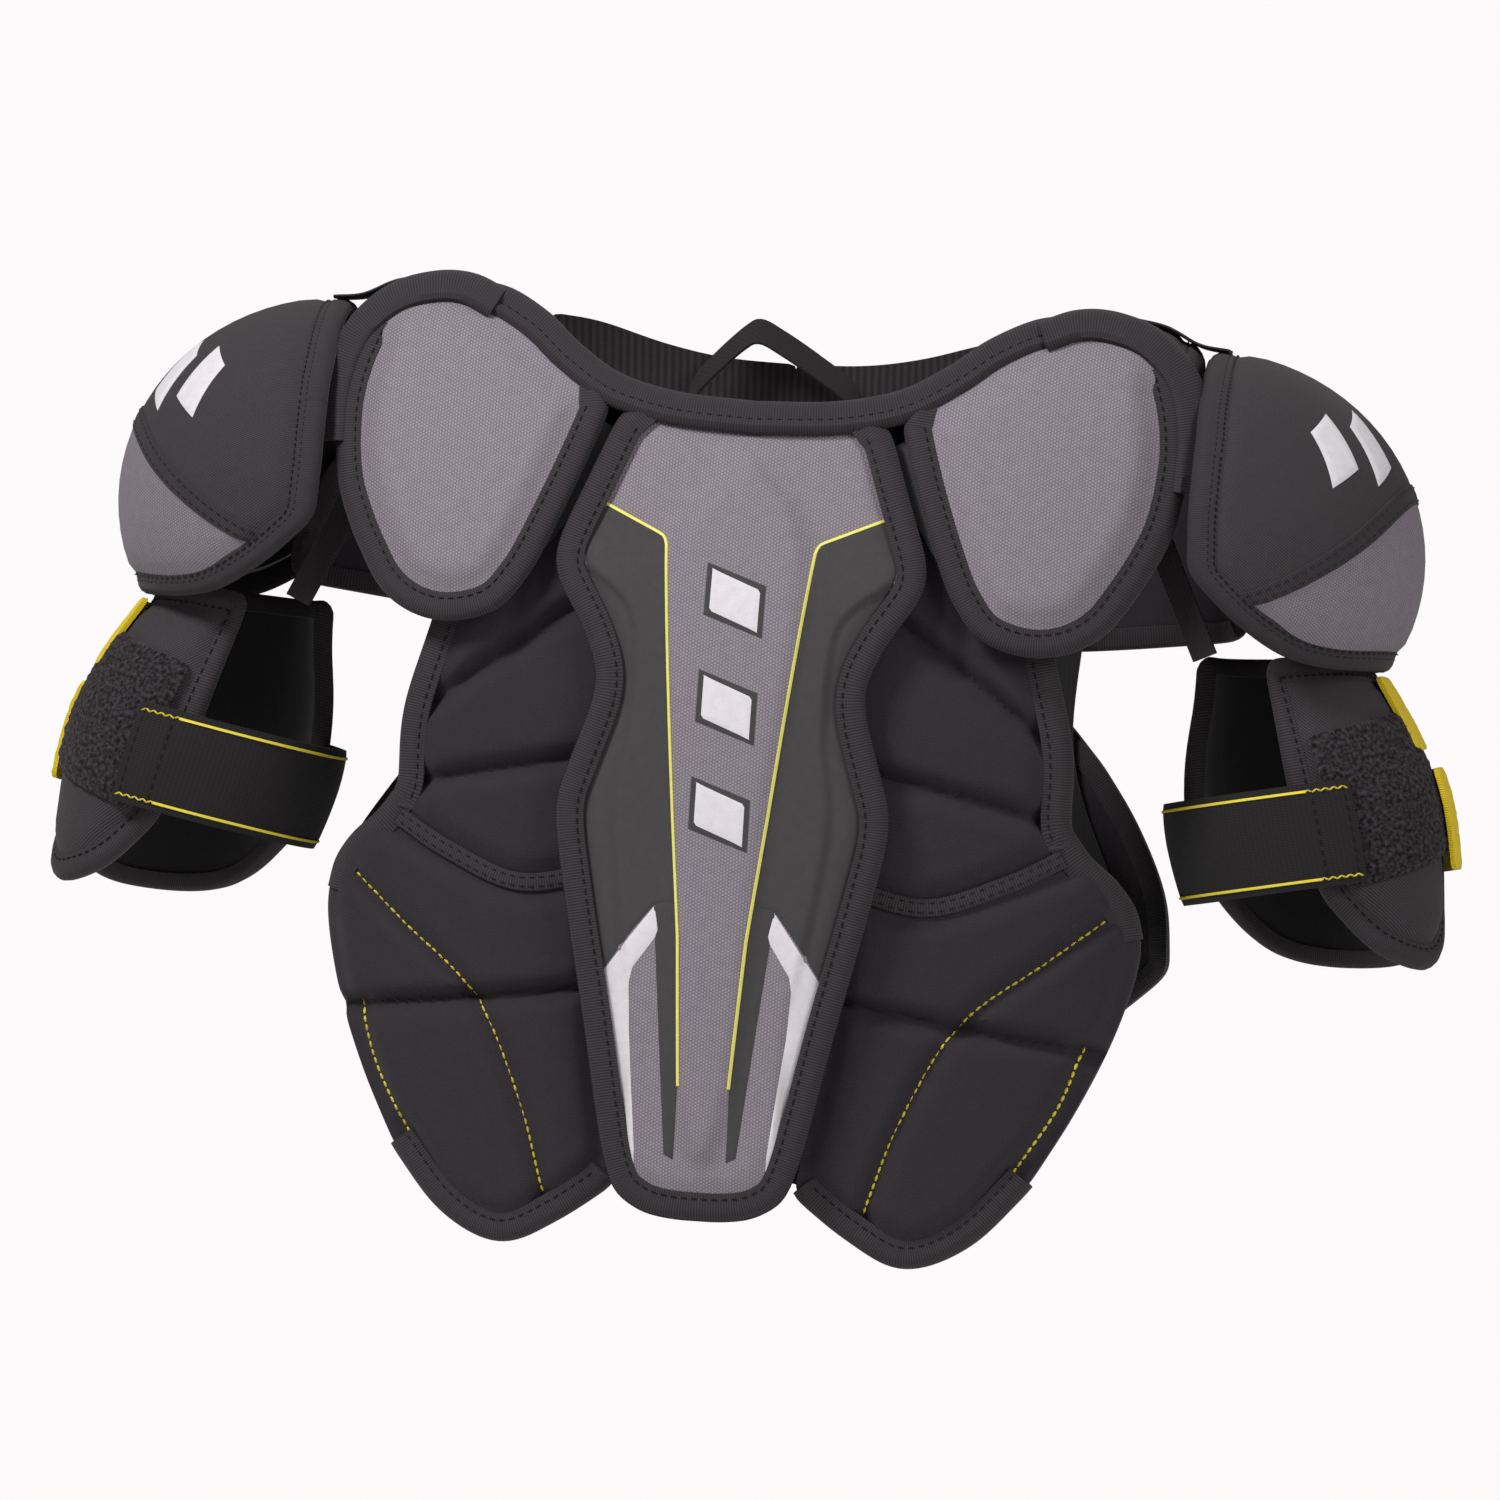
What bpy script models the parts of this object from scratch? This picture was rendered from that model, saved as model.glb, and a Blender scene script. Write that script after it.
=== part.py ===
# Junior ice hockey shoulder pads, modelled as worn: the wearer faces -Y, the wearer's left arm is at +X.
# The origin is the middle of the neck opening, level with the front of the collar. Sizes are in millimetres.
import math

import bmesh
import bpy
from mathutils import Matrix, Vector

MM = 0.001
SIDES = {"left": 1, "right": -1}          # the wearer's left and right

# The torso that every panel is bent over
HALF_DEPTH = 85                           # inside the liner, fullest at FULLEST_Z
SHOULDER_HALF_WIDTH = 185
WAIST_HALF_WIDTH = 165
FULLEST_Z = -140
SHOULDER_RISE = 180                       # from the fullest level up to the shoulder ridge
NAPE_RISE = 50                            # how much further the back climbs behind the neck
ROUNDNESS = 2.2

# Shells over the shoulder joint, and the arm guard below them
CAP_CENTRE = Vector((174, 0, -40))
CAP_RADII = Vector((88, 75, 82))
CAP_HINGE = Vector((184, 0, 43))
ARM_HINGE = Vector((208, 0, -62))
ARM_LEAN = 0.26                           # the guard stands away from the body by this much a millimetre
ARM_TILT = 0.2                            # and its rings rise outwards by this much a millimetre
ARM_RADIUS = [(-76, 31), (-98, 40), (-125, 49), (-150, 51), (-180, 46), (-200, 42)]

# Outside face of each layer above the torso, and its thickness
LINER = (2.2, 1.8)
PAD = (15, 10.4)
YOKE = (12, 8.4)
COLLAR_LIFT = 22
COLLAR_RADIUS = 5.5
REAR_COLLAR = (9, 5)
STERNUM_FOAM = (21, 4.4)
STERNUM_INSERT = (24.2, 2.2)
STERNUM_COVER = (29, 3.6)
CLAVICLE_INSERT = (19.6, 2)
CLAVICLE_PAD = (31, 9)
SPINE_PLATE = Vector((54, 3, 130))

# Finishes: colour, roughness
CHARCOAL = ((0.035, 0.031, 0.034), 0.85)
BLACK = ((0.012, 0.011, 0.012), 0.9)
GREY_MESH = ((0.21, 0.18, 0.2), 0.8)
HARD_SHELL = ((0.05, 0.05, 0.055), 0.4)
FOAM = ((0.3, 0.3, 0.3), 0.95)
YELLOW = ((0.85, 0.66, 0.02), 0.8)
STEEL = ((0.6, 0.6, 0.62), 0.3)


def clear_scene():
    for obj in list(bpy.data.objects):
        bpy.data.objects.remove(obj, do_unlink=True)


clear_scene()
pads = bpy.data.collections.new("hockey_shoulder_pads")
bpy.context.scene.collection.children.link(pads)


# ---------------------------------------------------------------- shared geometry

def smooth(t):
    t = min(max(t, 0.0), 1.0)
    return t * t * (3 - 2 * t)


def half_width(z):
    waist = smooth((-80 - z) / 120)
    return SHOULDER_HALF_WIDTH - (SHOULDER_HALF_WIDTH - WAIST_HALF_WIDTH) * waist


def rise(x, back):
    shoulder_slope = 0.011 * max(abs(x) - 140, 0) ** 2
    nape = NAPE_RISE * max(1 - (x / 120) ** 2, 0) if back else 0
    return SHOULDER_RISE - shoulder_slope + nape


def across(x, z, lift):
    share = min(abs(x) / (half_width(z) + lift), 0.995)
    return (1 - share ** ROUNDNESS) ** (1 / ROUNDNESS)


def torso(x, z, lift, back=False):
    """Point of the layer that lies lift above the torso, seen from the front at x, z."""
    if z > FULLEST_Z:
        climb = (z - FULLEST_Z) / (rise(x, back) + lift)
        upright = math.sqrt(max(1 - climb ** 2, 0.0004))
    else:
        upright = 1 - 0.06 * ((FULLEST_Z - z) / 180) ** 2
    y = (HALF_DEPTH + lift) * across(x, z, lift) * upright
    return Vector((x, y if back else -y, z))


def over_shoulder(x, angle, lift):
    """Point above the shoulder ridge: 0 degrees is the chest, 90 the top, 180 the back."""
    a = math.radians(angle)
    y = -(HALF_DEPTH + lift) * across(x, 0, lift) * math.cos(a)
    return Vector((x, y, FULLEST_Z + (rise(x, False) + lift) * math.sin(a)))


def cap_point(turn, climb, grow):
    """Point of the shoulder cap: turn 0 faces out, -90 forward; climb 90 is its top."""
    t = math.radians(turn)
    c = math.radians(climb)
    radii = CAP_RADII + Vector((grow, grow, grow))
    return CAP_CENTRE + Vector((radii.x * math.cos(c) * math.cos(t),
                                radii.y * math.cos(c) * math.sin(t),
                                radii.z * math.sin(c)))


def cap_bottom(turn):
    return -30 + 25 * max(abs(turn) / 45 - 1, 0) ** 2


def arm_point(turn, z, grow):
    """Point of the arm guard: turn 0 faces out, -90 forward, 180 towards the body."""
    t = math.radians(turn)
    radius = along(ARM_RADIUS, z, by_first=True) + grow
    centre = 212 + ARM_LEAN * (-98 - z)
    out = radius * math.cos(t)
    return Vector((centre + out, radius * math.sin(t), z + ARM_TILT * out))


def along(points, t, by_first=False):
    """Smooth curve through points at t from 0 to 1, or a table's second value read at its first."""
    if by_first:
        for (a, first), (b, second) in zip(points, points[1:]):
            if t >= b:
                return first + (second - first) * smooth((t - a) / (b - a))
        return points[-1][1]
    knots = [Vector(p) for p in points]
    lengths = [(b - a).length for a, b in zip(knots, knots[1:])]
    distance = t * sum(lengths)
    i = 0
    while i < len(lengths) - 1 and distance > lengths[i]:
        distance -= lengths[i]
        i += 1
    s = min(distance / lengths[i], 1.0)
    p1 = knots[i]
    p2 = knots[i + 1]
    p0 = knots[i - 1] if i > 0 else p1 * 2 - p2
    p3 = knots[i + 2] if i + 2 < len(knots) else p2 * 2 - p1
    return 0.5 * ((2 * p1) + (p2 - p0) * s + (2 * p0 - 5 * p1 + 4 * p2 - p3) * s * s
                  + (3 * p1 - p0 - 3 * p2 + p3) * s ** 3)


def patch(outline, u, v):
    """Point at u across and v down inside four edges that share their corners."""
    top, outer, bottom, inner = outline
    a = Vector(top[0])
    b = Vector(top[-1])
    c = Vector(bottom[0])
    d = Vector(bottom[-1])
    ruled = along(top, u) * (1 - v) + along(bottom, u) * v + along(inner, v) * (1 - u) + along(outer, v) * u
    return ruled - (a * (1 - u) * (1 - v) + b * u * (1 - v) + c * (1 - u) * v + d * u * v)


# ---------------------------------------------------------------- object makers

def finish(obj, look):
    colour, roughness = look
    material = bpy.data.materials.new(obj.name + "_finish")
    material.use_nodes = True
    shader = material.node_tree.nodes["Principled BSDF"]
    shader.inputs["Base Color"].default_value = (*colour, 1)
    shader.inputs["Roughness"].default_value = roughness
    shader.inputs["Metallic"].default_value = 1.0 if look is STEEL else 0.0
    obj.data.materials.append(material)
    return obj


def add_mesh(name, bm, look):
    mesh = bpy.data.meshes.new(name)
    bm.to_mesh(mesh)
    bm.free()
    mesh.shade_smooth()
    mesh.set_sharp_from_angle(angle=math.radians(40))
    obj = bpy.data.objects.new(name, mesh)
    pads.objects.link(obj)
    return finish(obj, look)


def shell(name, place, columns, rows, thick, look, flip=False):
    """An open sheet of columns by rows, put in place by place(u, v), with its thickness inwards."""
    bm = bmesh.new()
    bmesh.ops.create_grid(bm, x_segments=columns, y_segments=rows, size=0.5)
    for vert in bm.verts:
        vert.co = place(vert.co.x + 0.5, 0.5 - vert.co.y) * MM
    if flip:
        bmesh.ops.reverse_faces(bm, faces=bm.faces)
    obj = add_mesh(name, bm, look)
    solid = obj.modifiers.new("thickness", "SOLIDIFY")
    solid.thickness = thick * MM
    solid.offset = -1
    return obj


def mirrored(point, side):
    return Vector((point.x * side, point.y, point.z))


def panel(name, outline, layer, grid, look, side=1, back=False):
    lift, thick = layer

    def place(u, v):
        x, z = patch(outline, u, v)
        return mirrored(torso(x, z, lift, back), side)

    return shell(name, place, grid[0], grid[1], thick, look, flip=(side < 0) != back)


def middle_panel(name, half, layer, grid, look, back=False):
    """A panel across the centre line, from the outline of its half at +X."""
    lift, thick = layer

    def place(u, v):
        x, z = patch(half, abs(2 * u - 1), v)
        return torso(x if u > 0.5 else -x, z, lift, back)

    return shell(name, place, grid[0], grid[1], thick, look, flip=back)


def ribbon(name, path, width, thick, look, side=1, steps=8, wide=(0, 1, 0), flip=False):
    """Flat webbing along path, width across it in the direction wide."""
    half = Vector(wide) * width / 2

    def place(u, v):
        return mirrored(along(path, u) + half * (1 - 2 * v), side)

    return shell(name, place, steps, 1, thick, look, flip=(side < 0) != flip)


def tube(name, points, radius, look):
    curve = bpy.data.curves.new(name, "CURVE")
    curve.dimensions = "3D"
    curve.bevel_depth = radius * MM
    curve.bevel_resolution = 2
    curve.use_fill_caps = True
    spline = curve.splines.new("POLY")
    spline.points.add(len(points) - 1)
    for knot, point in zip(spline.points, points):
        knot.co = (*(point * MM), 1)
    obj = bpy.data.objects.new(name, curve)
    pads.objects.link(obj)
    return finish(obj, look)


def pivot(name, point, parent=None):
    """Empty on a joint's axis."""
    empty = bpy.data.objects.new(name, None)
    empty.empty_display_size = 0.02
    empty.location = point * MM
    pads.objects.link(empty)
    if parent:
        empty.parent = parent
        empty.location = point * MM - parent.matrix_world.translation
    bpy.context.view_layer.update()
    return empty


def hang(empty, *pieces):
    """Parent pieces to the empty, with their own origins on it."""
    for piece in pieces:
        piece.data.transform(Matrix.Translation(-empty.matrix_world.translation))
        piece.parent = empty


# ---------------------------------------------------------------- chest

CHEST = ([(44, -10), (80, -14), (114, -26)],
         [(114, -26), (120, -76), (131, -120), (132, -150), (137, -158)],
         [(46, -176), (80, -184), (112, -172), (137, -158)],
         [(44, -10), (50, -60), (40, -105), (46, -176)])
BELLY = ([(48, -181), (80, -188), (114, -176), (141, -163)],
         [(141, -163), (156, -178), (162, -198), (155, -230), (142, -262), (126, -292)],
         [(36, -300), (58, -316), (80, -326), (104, -316), (126, -292)],
         [(48, -181), (46, -240), (36, -300)])
FRONT_LINER = ([(0, -10), (45, -8), (108, -18)],
               [(108, -18), (114, -76), (124, -140), (150, -185), (152, -220), (120, -288)],
               [(0, -296), (40, -298), (80, -318), (120, -288)],
               [(0, -10), (0, -150), (0, -296)])


def chest():
    middle_panel("front_liner", FRONT_LINER, LINER, (12, 12), BLACK)
    for word, side in SIDES.items():
        panel("chest_pad_" + word, CHEST, PAD, (5, 8), CHARCOAL, side)
        panel("belly_pad_" + word, BELLY, PAD, (6, 8), CHARCOAL, side)


STERNUM = ([(0, -4), (28, -3), (51, 0)],
           [(51, 0), (62, -27), (71, -52), (70, -64), (60, -80), (52, -98), (52, -112), (60, -138),
            (64, -156), (58, -190), (48, -236), (38, -285), (32, -303)],
           [(0, -312), (20, -310), (32, -303)],
           [(0, -4), (0, -150), (0, -312)])


def inset(outline, margin):
    """The same outline, drawn in by margin towards its middle."""
    corners = [Vector(p) for edge in outline for p in edge]
    middle = sum(corners, Vector((0, 0))) / len(corners)

    def pull(p):
        x, z = p
        return (max(x - margin, 0) if x > 0 else 0, z + margin * (1 if z < middle.y else -1))

    return tuple([pull(p) for p in edge] for edge in outline)


def sternum():
    hinge = pivot("sternum_hinge", torso(0, -4, STERNUM_COVER[0]))
    cover = middle_panel("sternum_cover", STERNUM, STERNUM_COVER, (8, 16), GREY_MESH)
    insert = middle_panel("sternum_insert", inset(STERNUM, 8), STERNUM_INSERT, (6, 12), HARD_SHELL)
    foam = middle_panel("sternum_foam", inset(STERNUM, 10), STERNUM_FOAM, (6, 12), FOAM)
    hang(hinge, cover, insert, foam)


CLAVICLE = ([(61, 2), (80, 13), (96, 26), (112, 37), (134, 42), (152, 38), (165, 22)],
            [(165, 22), (167, 0), (164, -30), (158, -48)],
            [(88, -62), (104, -75), (122, -78), (142, -68), (158, -48)],
            [(61, 2), (67, -25), (78, -48), (88, -62)])
CLAVICLE_CORNER = (61, 2)                 # start of the sewn edge that the pad lifts about


def clavicle(word, side):
    corner = torso(*CLAVICLE_CORNER, CLAVICLE_PAD[0] - 5)
    hinge = pivot("clavicle_hinge_" + word, mirrored(corner, side))
    pad = panel("clavicle_pad_" + word, CLAVICLE, CLAVICLE_PAD, (7, 7), GREY_MESH, side)
    insert = panel("clavicle_insert_" + word, inset(CLAVICLE, 9), CLAVICLE_INSERT, (5, 5), HARD_SHELL, side)
    hang(hinge, pad, insert)


# ---------------------------------------------------------------- collar and shoulders

NECK_FRONT = [(0, 3), (32, 5), (58, 12), (77, 24), (91, 36), (106, 45), (117, 48)]
NECK_REAR = [(1.5, 29), (28, 30), (52, 34), (78, 41), (103, 46)]
REAR_COLLAR_HEIGHT = 24


def collar():
    half = [along(NECK_FRONT, i / 12) for i in range(13)]
    front = [torso(x, z, COLLAR_LIFT) for x, z in half]
    tube("collar_front", [mirrored(p, -1) for p in reversed(front[1:])] + front, COLLAR_RADIUS, BLACK)
    low = [(x, z - REAR_COLLAR_HEIGHT) for x, z in NECK_REAR]
    outline = (NECK_REAR, [NECK_REAR[-1], low[-1]], low, [NECK_REAR[0], low[0]])
    for word, side in SIDES.items():
        panel("collar_rear_" + word, outline, REAR_COLLAR, (7, 2), BLACK, side, back=True)


LOOP_PATH = [(-41, 52, 6), (-38, 51, 20), (-29, 50, 34), (-15, 50, 47),
             (0, 50, 42), (14, 51, 33), (26, 52, 20), (30, 53, 6)]


def hang_loop():
    ribbon("hang_loop", LOOP_PATH, 12, 1.4, BLACK, steps=12, wide=(0, 0.9, 0.45))


YOKE_X = (126, 168)
YOKE_ANGLE = (62, 118)


def yoke(word, side):
    def place(u, v):
        x = YOKE_X[0] + (YOKE_X[1] - YOKE_X[0]) * v
        angle = YOKE_ANGLE[0] + (YOKE_ANGLE[1] - YOKE_ANGLE[0]) * u
        return mirrored(over_shoulder(x, angle, YOKE[0]), side)

    shell("shoulder_yoke_" + word, place, 6, 4, YOKE[1], CHARCOAL, flip=side < 0)
    path = [over_shoulder(x, 90, YOKE[0] + 2.4) for x in (142, 155, 168)] + [CAP_HINGE + Vector((-3, 0, 1))]
    ribbon("cap_strap_" + word, path, 24, 1.4, BLACK, side, steps=4)


# ---------------------------------------------------------------- back

SCAPULA = ([(34, 2), (60, 5), (88, 12), (112, 14), (138, 4), (164, -4)],
           [(164, -4), (180, -24), (190, -50), (192, -70)],
           [(34, -78), (70, -80), (120, -78), (192, -70)],
           [(34, 2), (34, -40), (34, -78)])
RIB = ([(34, -84), (70, -88), (108, -102), (133, -126)],
       [(133, -126), (150, -150), (164, -178), (168, -206)],
       [(34, -236), (80, -240), (130, -234), (168, -206)],
       [(34, -84), (34, -160), (34, -236)])
BACK_LINER = ([(0, 1), (40, 0), (78, 2), (98, 0)],
              [(98, 0), (124, -40), (122, -120), (144, -176), (152, -200)],
              [(0, -228), (60, -232), (116, -226), (152, -200)],
              [(0, 1), (0, -110), (0, -228)])
SPINE_PAD = ([(0, 0), (14, 0), (29, -1)],
             [(29, -1), (29, -120), (27, -232)],
             [(0, -240), (14, -239), (27, -232)],
             [(0, 0), (0, -120), (0, -240)])


def back():
    middle_panel("back_liner", BACK_LINER, LINER, (16, 9), BLACK, back=True)
    middle_panel("spine_pad", SPINE_PAD, PAD, (4, 8), CHARCOAL, back=True)
    bm = bmesh.new()
    size = Matrix.Diagonal((*(SPINE_PLATE * MM), 1))
    bmesh.ops.create_cube(bm, size=1, matrix=size)
    plate = add_mesh("spine_plate", bm, HARD_SHELL)
    plate.location = Vector((0, HALF_DEPTH + PAD[0] + 2.2, -125)) * MM
    edge = plate.modifiers.new("edge", "BEVEL")
    edge.width = 0.8 * MM
    edge.segments = 1
    for word, side in SIDES.items():
        panel("scapula_pad_" + word, SCAPULA, PAD, (8, 5), CHARCOAL, side, back=True)
        panel("rib_pad_" + word, RIB, PAD, (7, 6), CHARCOAL, side, back=True)


SIDE_STRAP_Z = -205
SIDE_STRAP_WIDTH = 38
SIDE_TAB_HINGE = Vector((141, -28, SIDE_STRAP_Z))


def side_strap(word, side):
    """Elastic from inside the rib pad, round the flank, to a tab on the inside of the belly pad."""
    def tape(name, path, width, thick, look, steps):
        points = [(x, y, SIDE_STRAP_Z) for x, y in path]
        return ribbon(name, points, width, thick, look, side, steps, wide=(0, 0, 1), flip=True)

    strap_path = [(136, 46), (144, 26), (146, 0), (142.5, -24)]
    tape("side_strap_" + word, strap_path, SIDE_STRAP_WIDTH, 1.8, BLACK, 6)
    hinge = pivot("side_tab_hinge_" + word, mirrored(SIDE_TAB_HINGE, side))
    tab_path = [(141, -28), (134, -40), (125, -50)]
    hang(hinge, tape("side_tab_" + word, tab_path, SIDE_STRAP_WIDTH - 4, 2, YELLOW, 3))


# ---------------------------------------------------------------- shoulder caps and arm guards

def cap_layer(name, grow, thick, grid, look, side, margin=0):
    def place(u, v):
        turn = -90 + margin + (180 - 2 * margin) * u
        low = cap_bottom(turn) + margin
        climb = 84 - margin + (low - 84 + margin) * v
        return mirrored(cap_point(turn, climb, grow), side)

    return shell(name, place, grid[0], grid[1], thick, look, flip=side < 0)


def cap(word, side):
    hinge = pivot("cap_hinge_" + word, mirrored(CAP_HINGE, side))
    pieces = [cap_layer("cap_cover_" + word, 0, 4, (12, 7), CHARCOAL, side),
              cap_layer("cap_insert_" + word, -6.5, 2, (12, 7), HARD_SHELL, side, margin=6),
              cap_layer("cap_liner_" + word, -11, 4.5, (12, 7), BLACK, side, margin=3)]
    hanger = [(ARM_HINGE.x, 0, 10), (ARM_HINGE.x + 1, 0, -20), (ARM_HINGE.x, 0, ARM_HINGE.z + 2)]
    pieces.append(ribbon("cap_hanger_" + word, hanger, 20, 1.6, BLACK, side, steps=3))
    bm = bmesh.new()
    bmesh.ops.create_cone(bm, cap_ends=True, segments=16, radius1=4 * MM, radius2=3.2 * MM, depth=2.4 * MM)
    bmesh.ops.rotate(bm, verts=bm.verts, matrix=Matrix.Rotation(math.radians(90), 3, "Y"))
    spot = mirrored(Vector((ARM_HINGE.x + 4.2, 0, -40)), side)
    bmesh.ops.translate(bm, verts=bm.verts, vec=spot * MM)
    pieces.append(add_mesh("cap_rivet_" + word, bm, STEEL))
    hang(hinge, *pieces)
    return hinge


FRONT_WING = ([(-96, -80), (-50, -82), (6, -86)],
              [(6, -86), (6, -130), (6, -190)],
              [(-86, -172), (-62, -194), (-24, -203), (6, -190)],
              [(-96, -80), (-93, -110), (-91, -145), (-86, -172)])
REAR_WING = ([(12, -86), (90, -80), (172, -75)],
             [(172, -75), (174, -115), (170, -152)],
             [(12, -190), (60, -200), (128, -189), (170, -152)],
             [(12, -86), (12, -130), (12, -190)])
LOOP_PATCH = ([(-80, -110), (-45, -107), (-6, -104)],
              [(-6, -104), (-6, -132), (-6, -160)],
              [(-74, -170), (-40, -166), (-6, -160)],
              [(-80, -110), (-77, -140), (-74, -170)])
HANGER_TAB = ([(-2, -94), (16, -94), (34, -93)],
              [(34, -93), (34, -119)],
              [(-2, -120), (16, -120), (34, -119)],
              [(-2, -94), (-2, -120)])
STRAP_Z = (-128, -168)                    # upper and lower edge


def wrap(name, outline, grow, thick, grid, look, side):
    def place(u, v):
        turn, z = patch(outline, u, v)
        return mirrored(arm_point(turn, z, grow), side)

    return shell(name, place, grid[0], grid[1], thick, look, flip=side < 0)


def band(first, last):
    """Outline of a strap round the arm guard between two turns."""
    top, low = STRAP_Z
    middle = (first + last) / 2
    return ([(first, top), (middle, top), (last, top)], [(last, top), (last, low)],
            [(first, low), (middle, low), (last, low)], [(first, top), (first, low)])


def arm_guard(word, side, cap_hinge):
    hinge = pivot("arm_hinge_" + word, mirrored(ARM_HINGE, side), cap_hinge)
    pieces = [wrap("bicep_front_wing_" + word, FRONT_WING, 0, 7, (7, 7), CHARCOAL, side),
              wrap("bicep_rear_wing_" + word, REAR_WING, 0, 7, (10, 7), CHARCOAL, side),
              wrap("bicep_loop_patch_" + word, LOOP_PATCH, 3.6, 2, (6, 4), BLACK, side),
              wrap("bicep_strap_" + word, band(42, 292), 6.6, 1.6, (18, 2), CHARCOAL, side),
              wrap("bicep_hanger_tab_" + word, HANGER_TAB, 3.6, 2, (4, 2), YELLOW, side)]
    hang(hinge, *pieces)
    fold = mirrored(arm_point(40, sum(STRAP_Z) / 2, 5), side)
    tab_hinge = pivot("bicep_tab_hinge_" + word, fold, hinge)
    hang(tab_hinge, wrap("bicep_tab_" + word, band(-34, 39), 6.6, 1.8, (6, 2), YELLOW, side))


chest()
sternum()
collar()
hang_loop()
back()
for word, side in SIDES.items():
    clavicle(word, side)
    yoke(word, side)
    side_strap(word, side)
    arm_guard(word, side, cap(word, side))
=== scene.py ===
import math

import bmesh
import bpy
import numpy as np
from mathutils import Matrix, Vector


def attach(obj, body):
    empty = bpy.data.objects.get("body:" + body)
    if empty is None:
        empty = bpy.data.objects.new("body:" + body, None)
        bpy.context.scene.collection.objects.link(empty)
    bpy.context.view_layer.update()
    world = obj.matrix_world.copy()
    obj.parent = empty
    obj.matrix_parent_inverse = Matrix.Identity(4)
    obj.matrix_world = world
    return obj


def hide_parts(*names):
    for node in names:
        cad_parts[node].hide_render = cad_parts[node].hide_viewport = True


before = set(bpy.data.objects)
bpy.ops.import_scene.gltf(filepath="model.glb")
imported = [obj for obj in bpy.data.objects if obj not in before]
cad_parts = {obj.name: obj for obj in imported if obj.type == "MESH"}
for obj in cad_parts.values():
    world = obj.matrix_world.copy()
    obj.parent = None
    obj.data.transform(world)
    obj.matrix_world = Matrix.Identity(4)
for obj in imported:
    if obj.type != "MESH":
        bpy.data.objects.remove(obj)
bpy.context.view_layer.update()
SIDES = (("left", 1), ("right", -1))      # the wearer's left and right; lengths are in millimetres


# ---- chest and belly pads
# Hot-moulded foam under a brushed polyester knit, sewn to the liner. Ribbed tape with a dark lockstitch
# binds the chest's outer edge and the belly's foot, and pressed creases let each pad bend on the body.

HALF_DEPTH = 85                           # the torso that every panel is bent over, as in the CAD
SHOULDER_HALF_WIDTH = 185
WAIST_HALF_WIDTH = 165
FULLEST_Z = -140
SHOULDER_RISE = 180
NAPE_RISE = 50
ROUNDNESS = 2.2


def smooth(t):
    t = np.clip(t, 0, 1)
    return t * t * (3 - 2 * t)


def rise(x, back):
    nape = NAPE_RISE * np.maximum(1 - (x / 120) ** 2, 0) if back else 0
    return SHOULDER_RISE - 0.011 * np.maximum(np.abs(x) - 140, 0) ** 2 + nape


def across(x, z, lift):
    half_width = SHOULDER_HALF_WIDTH - (SHOULDER_HALF_WIDTH - WAIST_HALF_WIDTH) * smooth((-80 - z) / 120)
    share = np.minimum(np.abs(x) / (half_width + lift), 0.995)
    return (1 - share ** ROUNDNESS) ** (1 / ROUNDNESS)


def on_torso(layer, back=False):
    """Surface that lies layer above the torso: it puts flat points, seen from the front, in place."""
    def place(flat, lift):
        x, z = flat[:, 0], flat[:, 1]
        out = layer + lift
        climb = (z - FULLEST_Z) / (rise(x, back) + out)
        above = np.sqrt(np.maximum(1 - climb ** 2, 0.0004))
        below = 1 - 0.06 * ((FULLEST_Z - z) / 180) ** 2
        y = (HALF_DEPTH + out) * across(x, z, out) * np.where(z > FULLEST_Z, above, below)
        return np.stack([x, y if back else -y, z], axis=1)
    return place


def curve_through(points, steps):
    """Smooth curve through points, as steps + 1 points spaced by length."""
    knots = np.array(points, float)
    knots = np.vstack([2 * knots[0] - knots[1], knots, 2 * knots[-1] - knots[-2]])
    lengths = np.linalg.norm(np.diff(knots[1:-1], axis=0), axis=1)
    ends = np.concatenate([[0], np.cumsum(lengths)])
    at = np.linspace(0, ends[-1], steps + 1)
    i = np.clip(np.searchsorted(ends, at, side="right") - 1, 0, len(lengths) - 1)
    s = ((at - ends[i]) / lengths[i])[:, None]
    p0, p1, p2, p3 = knots[i], knots[i + 1], knots[i + 2], knots[i + 3]
    return 0.5 * (2 * p1 + (p2 - p0) * s + (2 * p0 - 5 * p1 + 4 * p2 - p3) * s ** 2
                  + (3 * p1 - p0 - 3 * p2 + p3) * s ** 3)


def both_halves(outline):
    """A whole outline from the half of it at +X."""
    top, outer, bottom, inner = outline

    def mirror(edge):
        return [(-x, z) for x, z in edge]
    return (mirror(top[:0:-1]) + top, outer, mirror(bottom[:0:-1]) + bottom, mirror(outer))


EDGES = ("top", "outer", "bottom", "inner")
SEWN = 6                                  # how much nearer the padding comes to an edge sewn without tape


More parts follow.
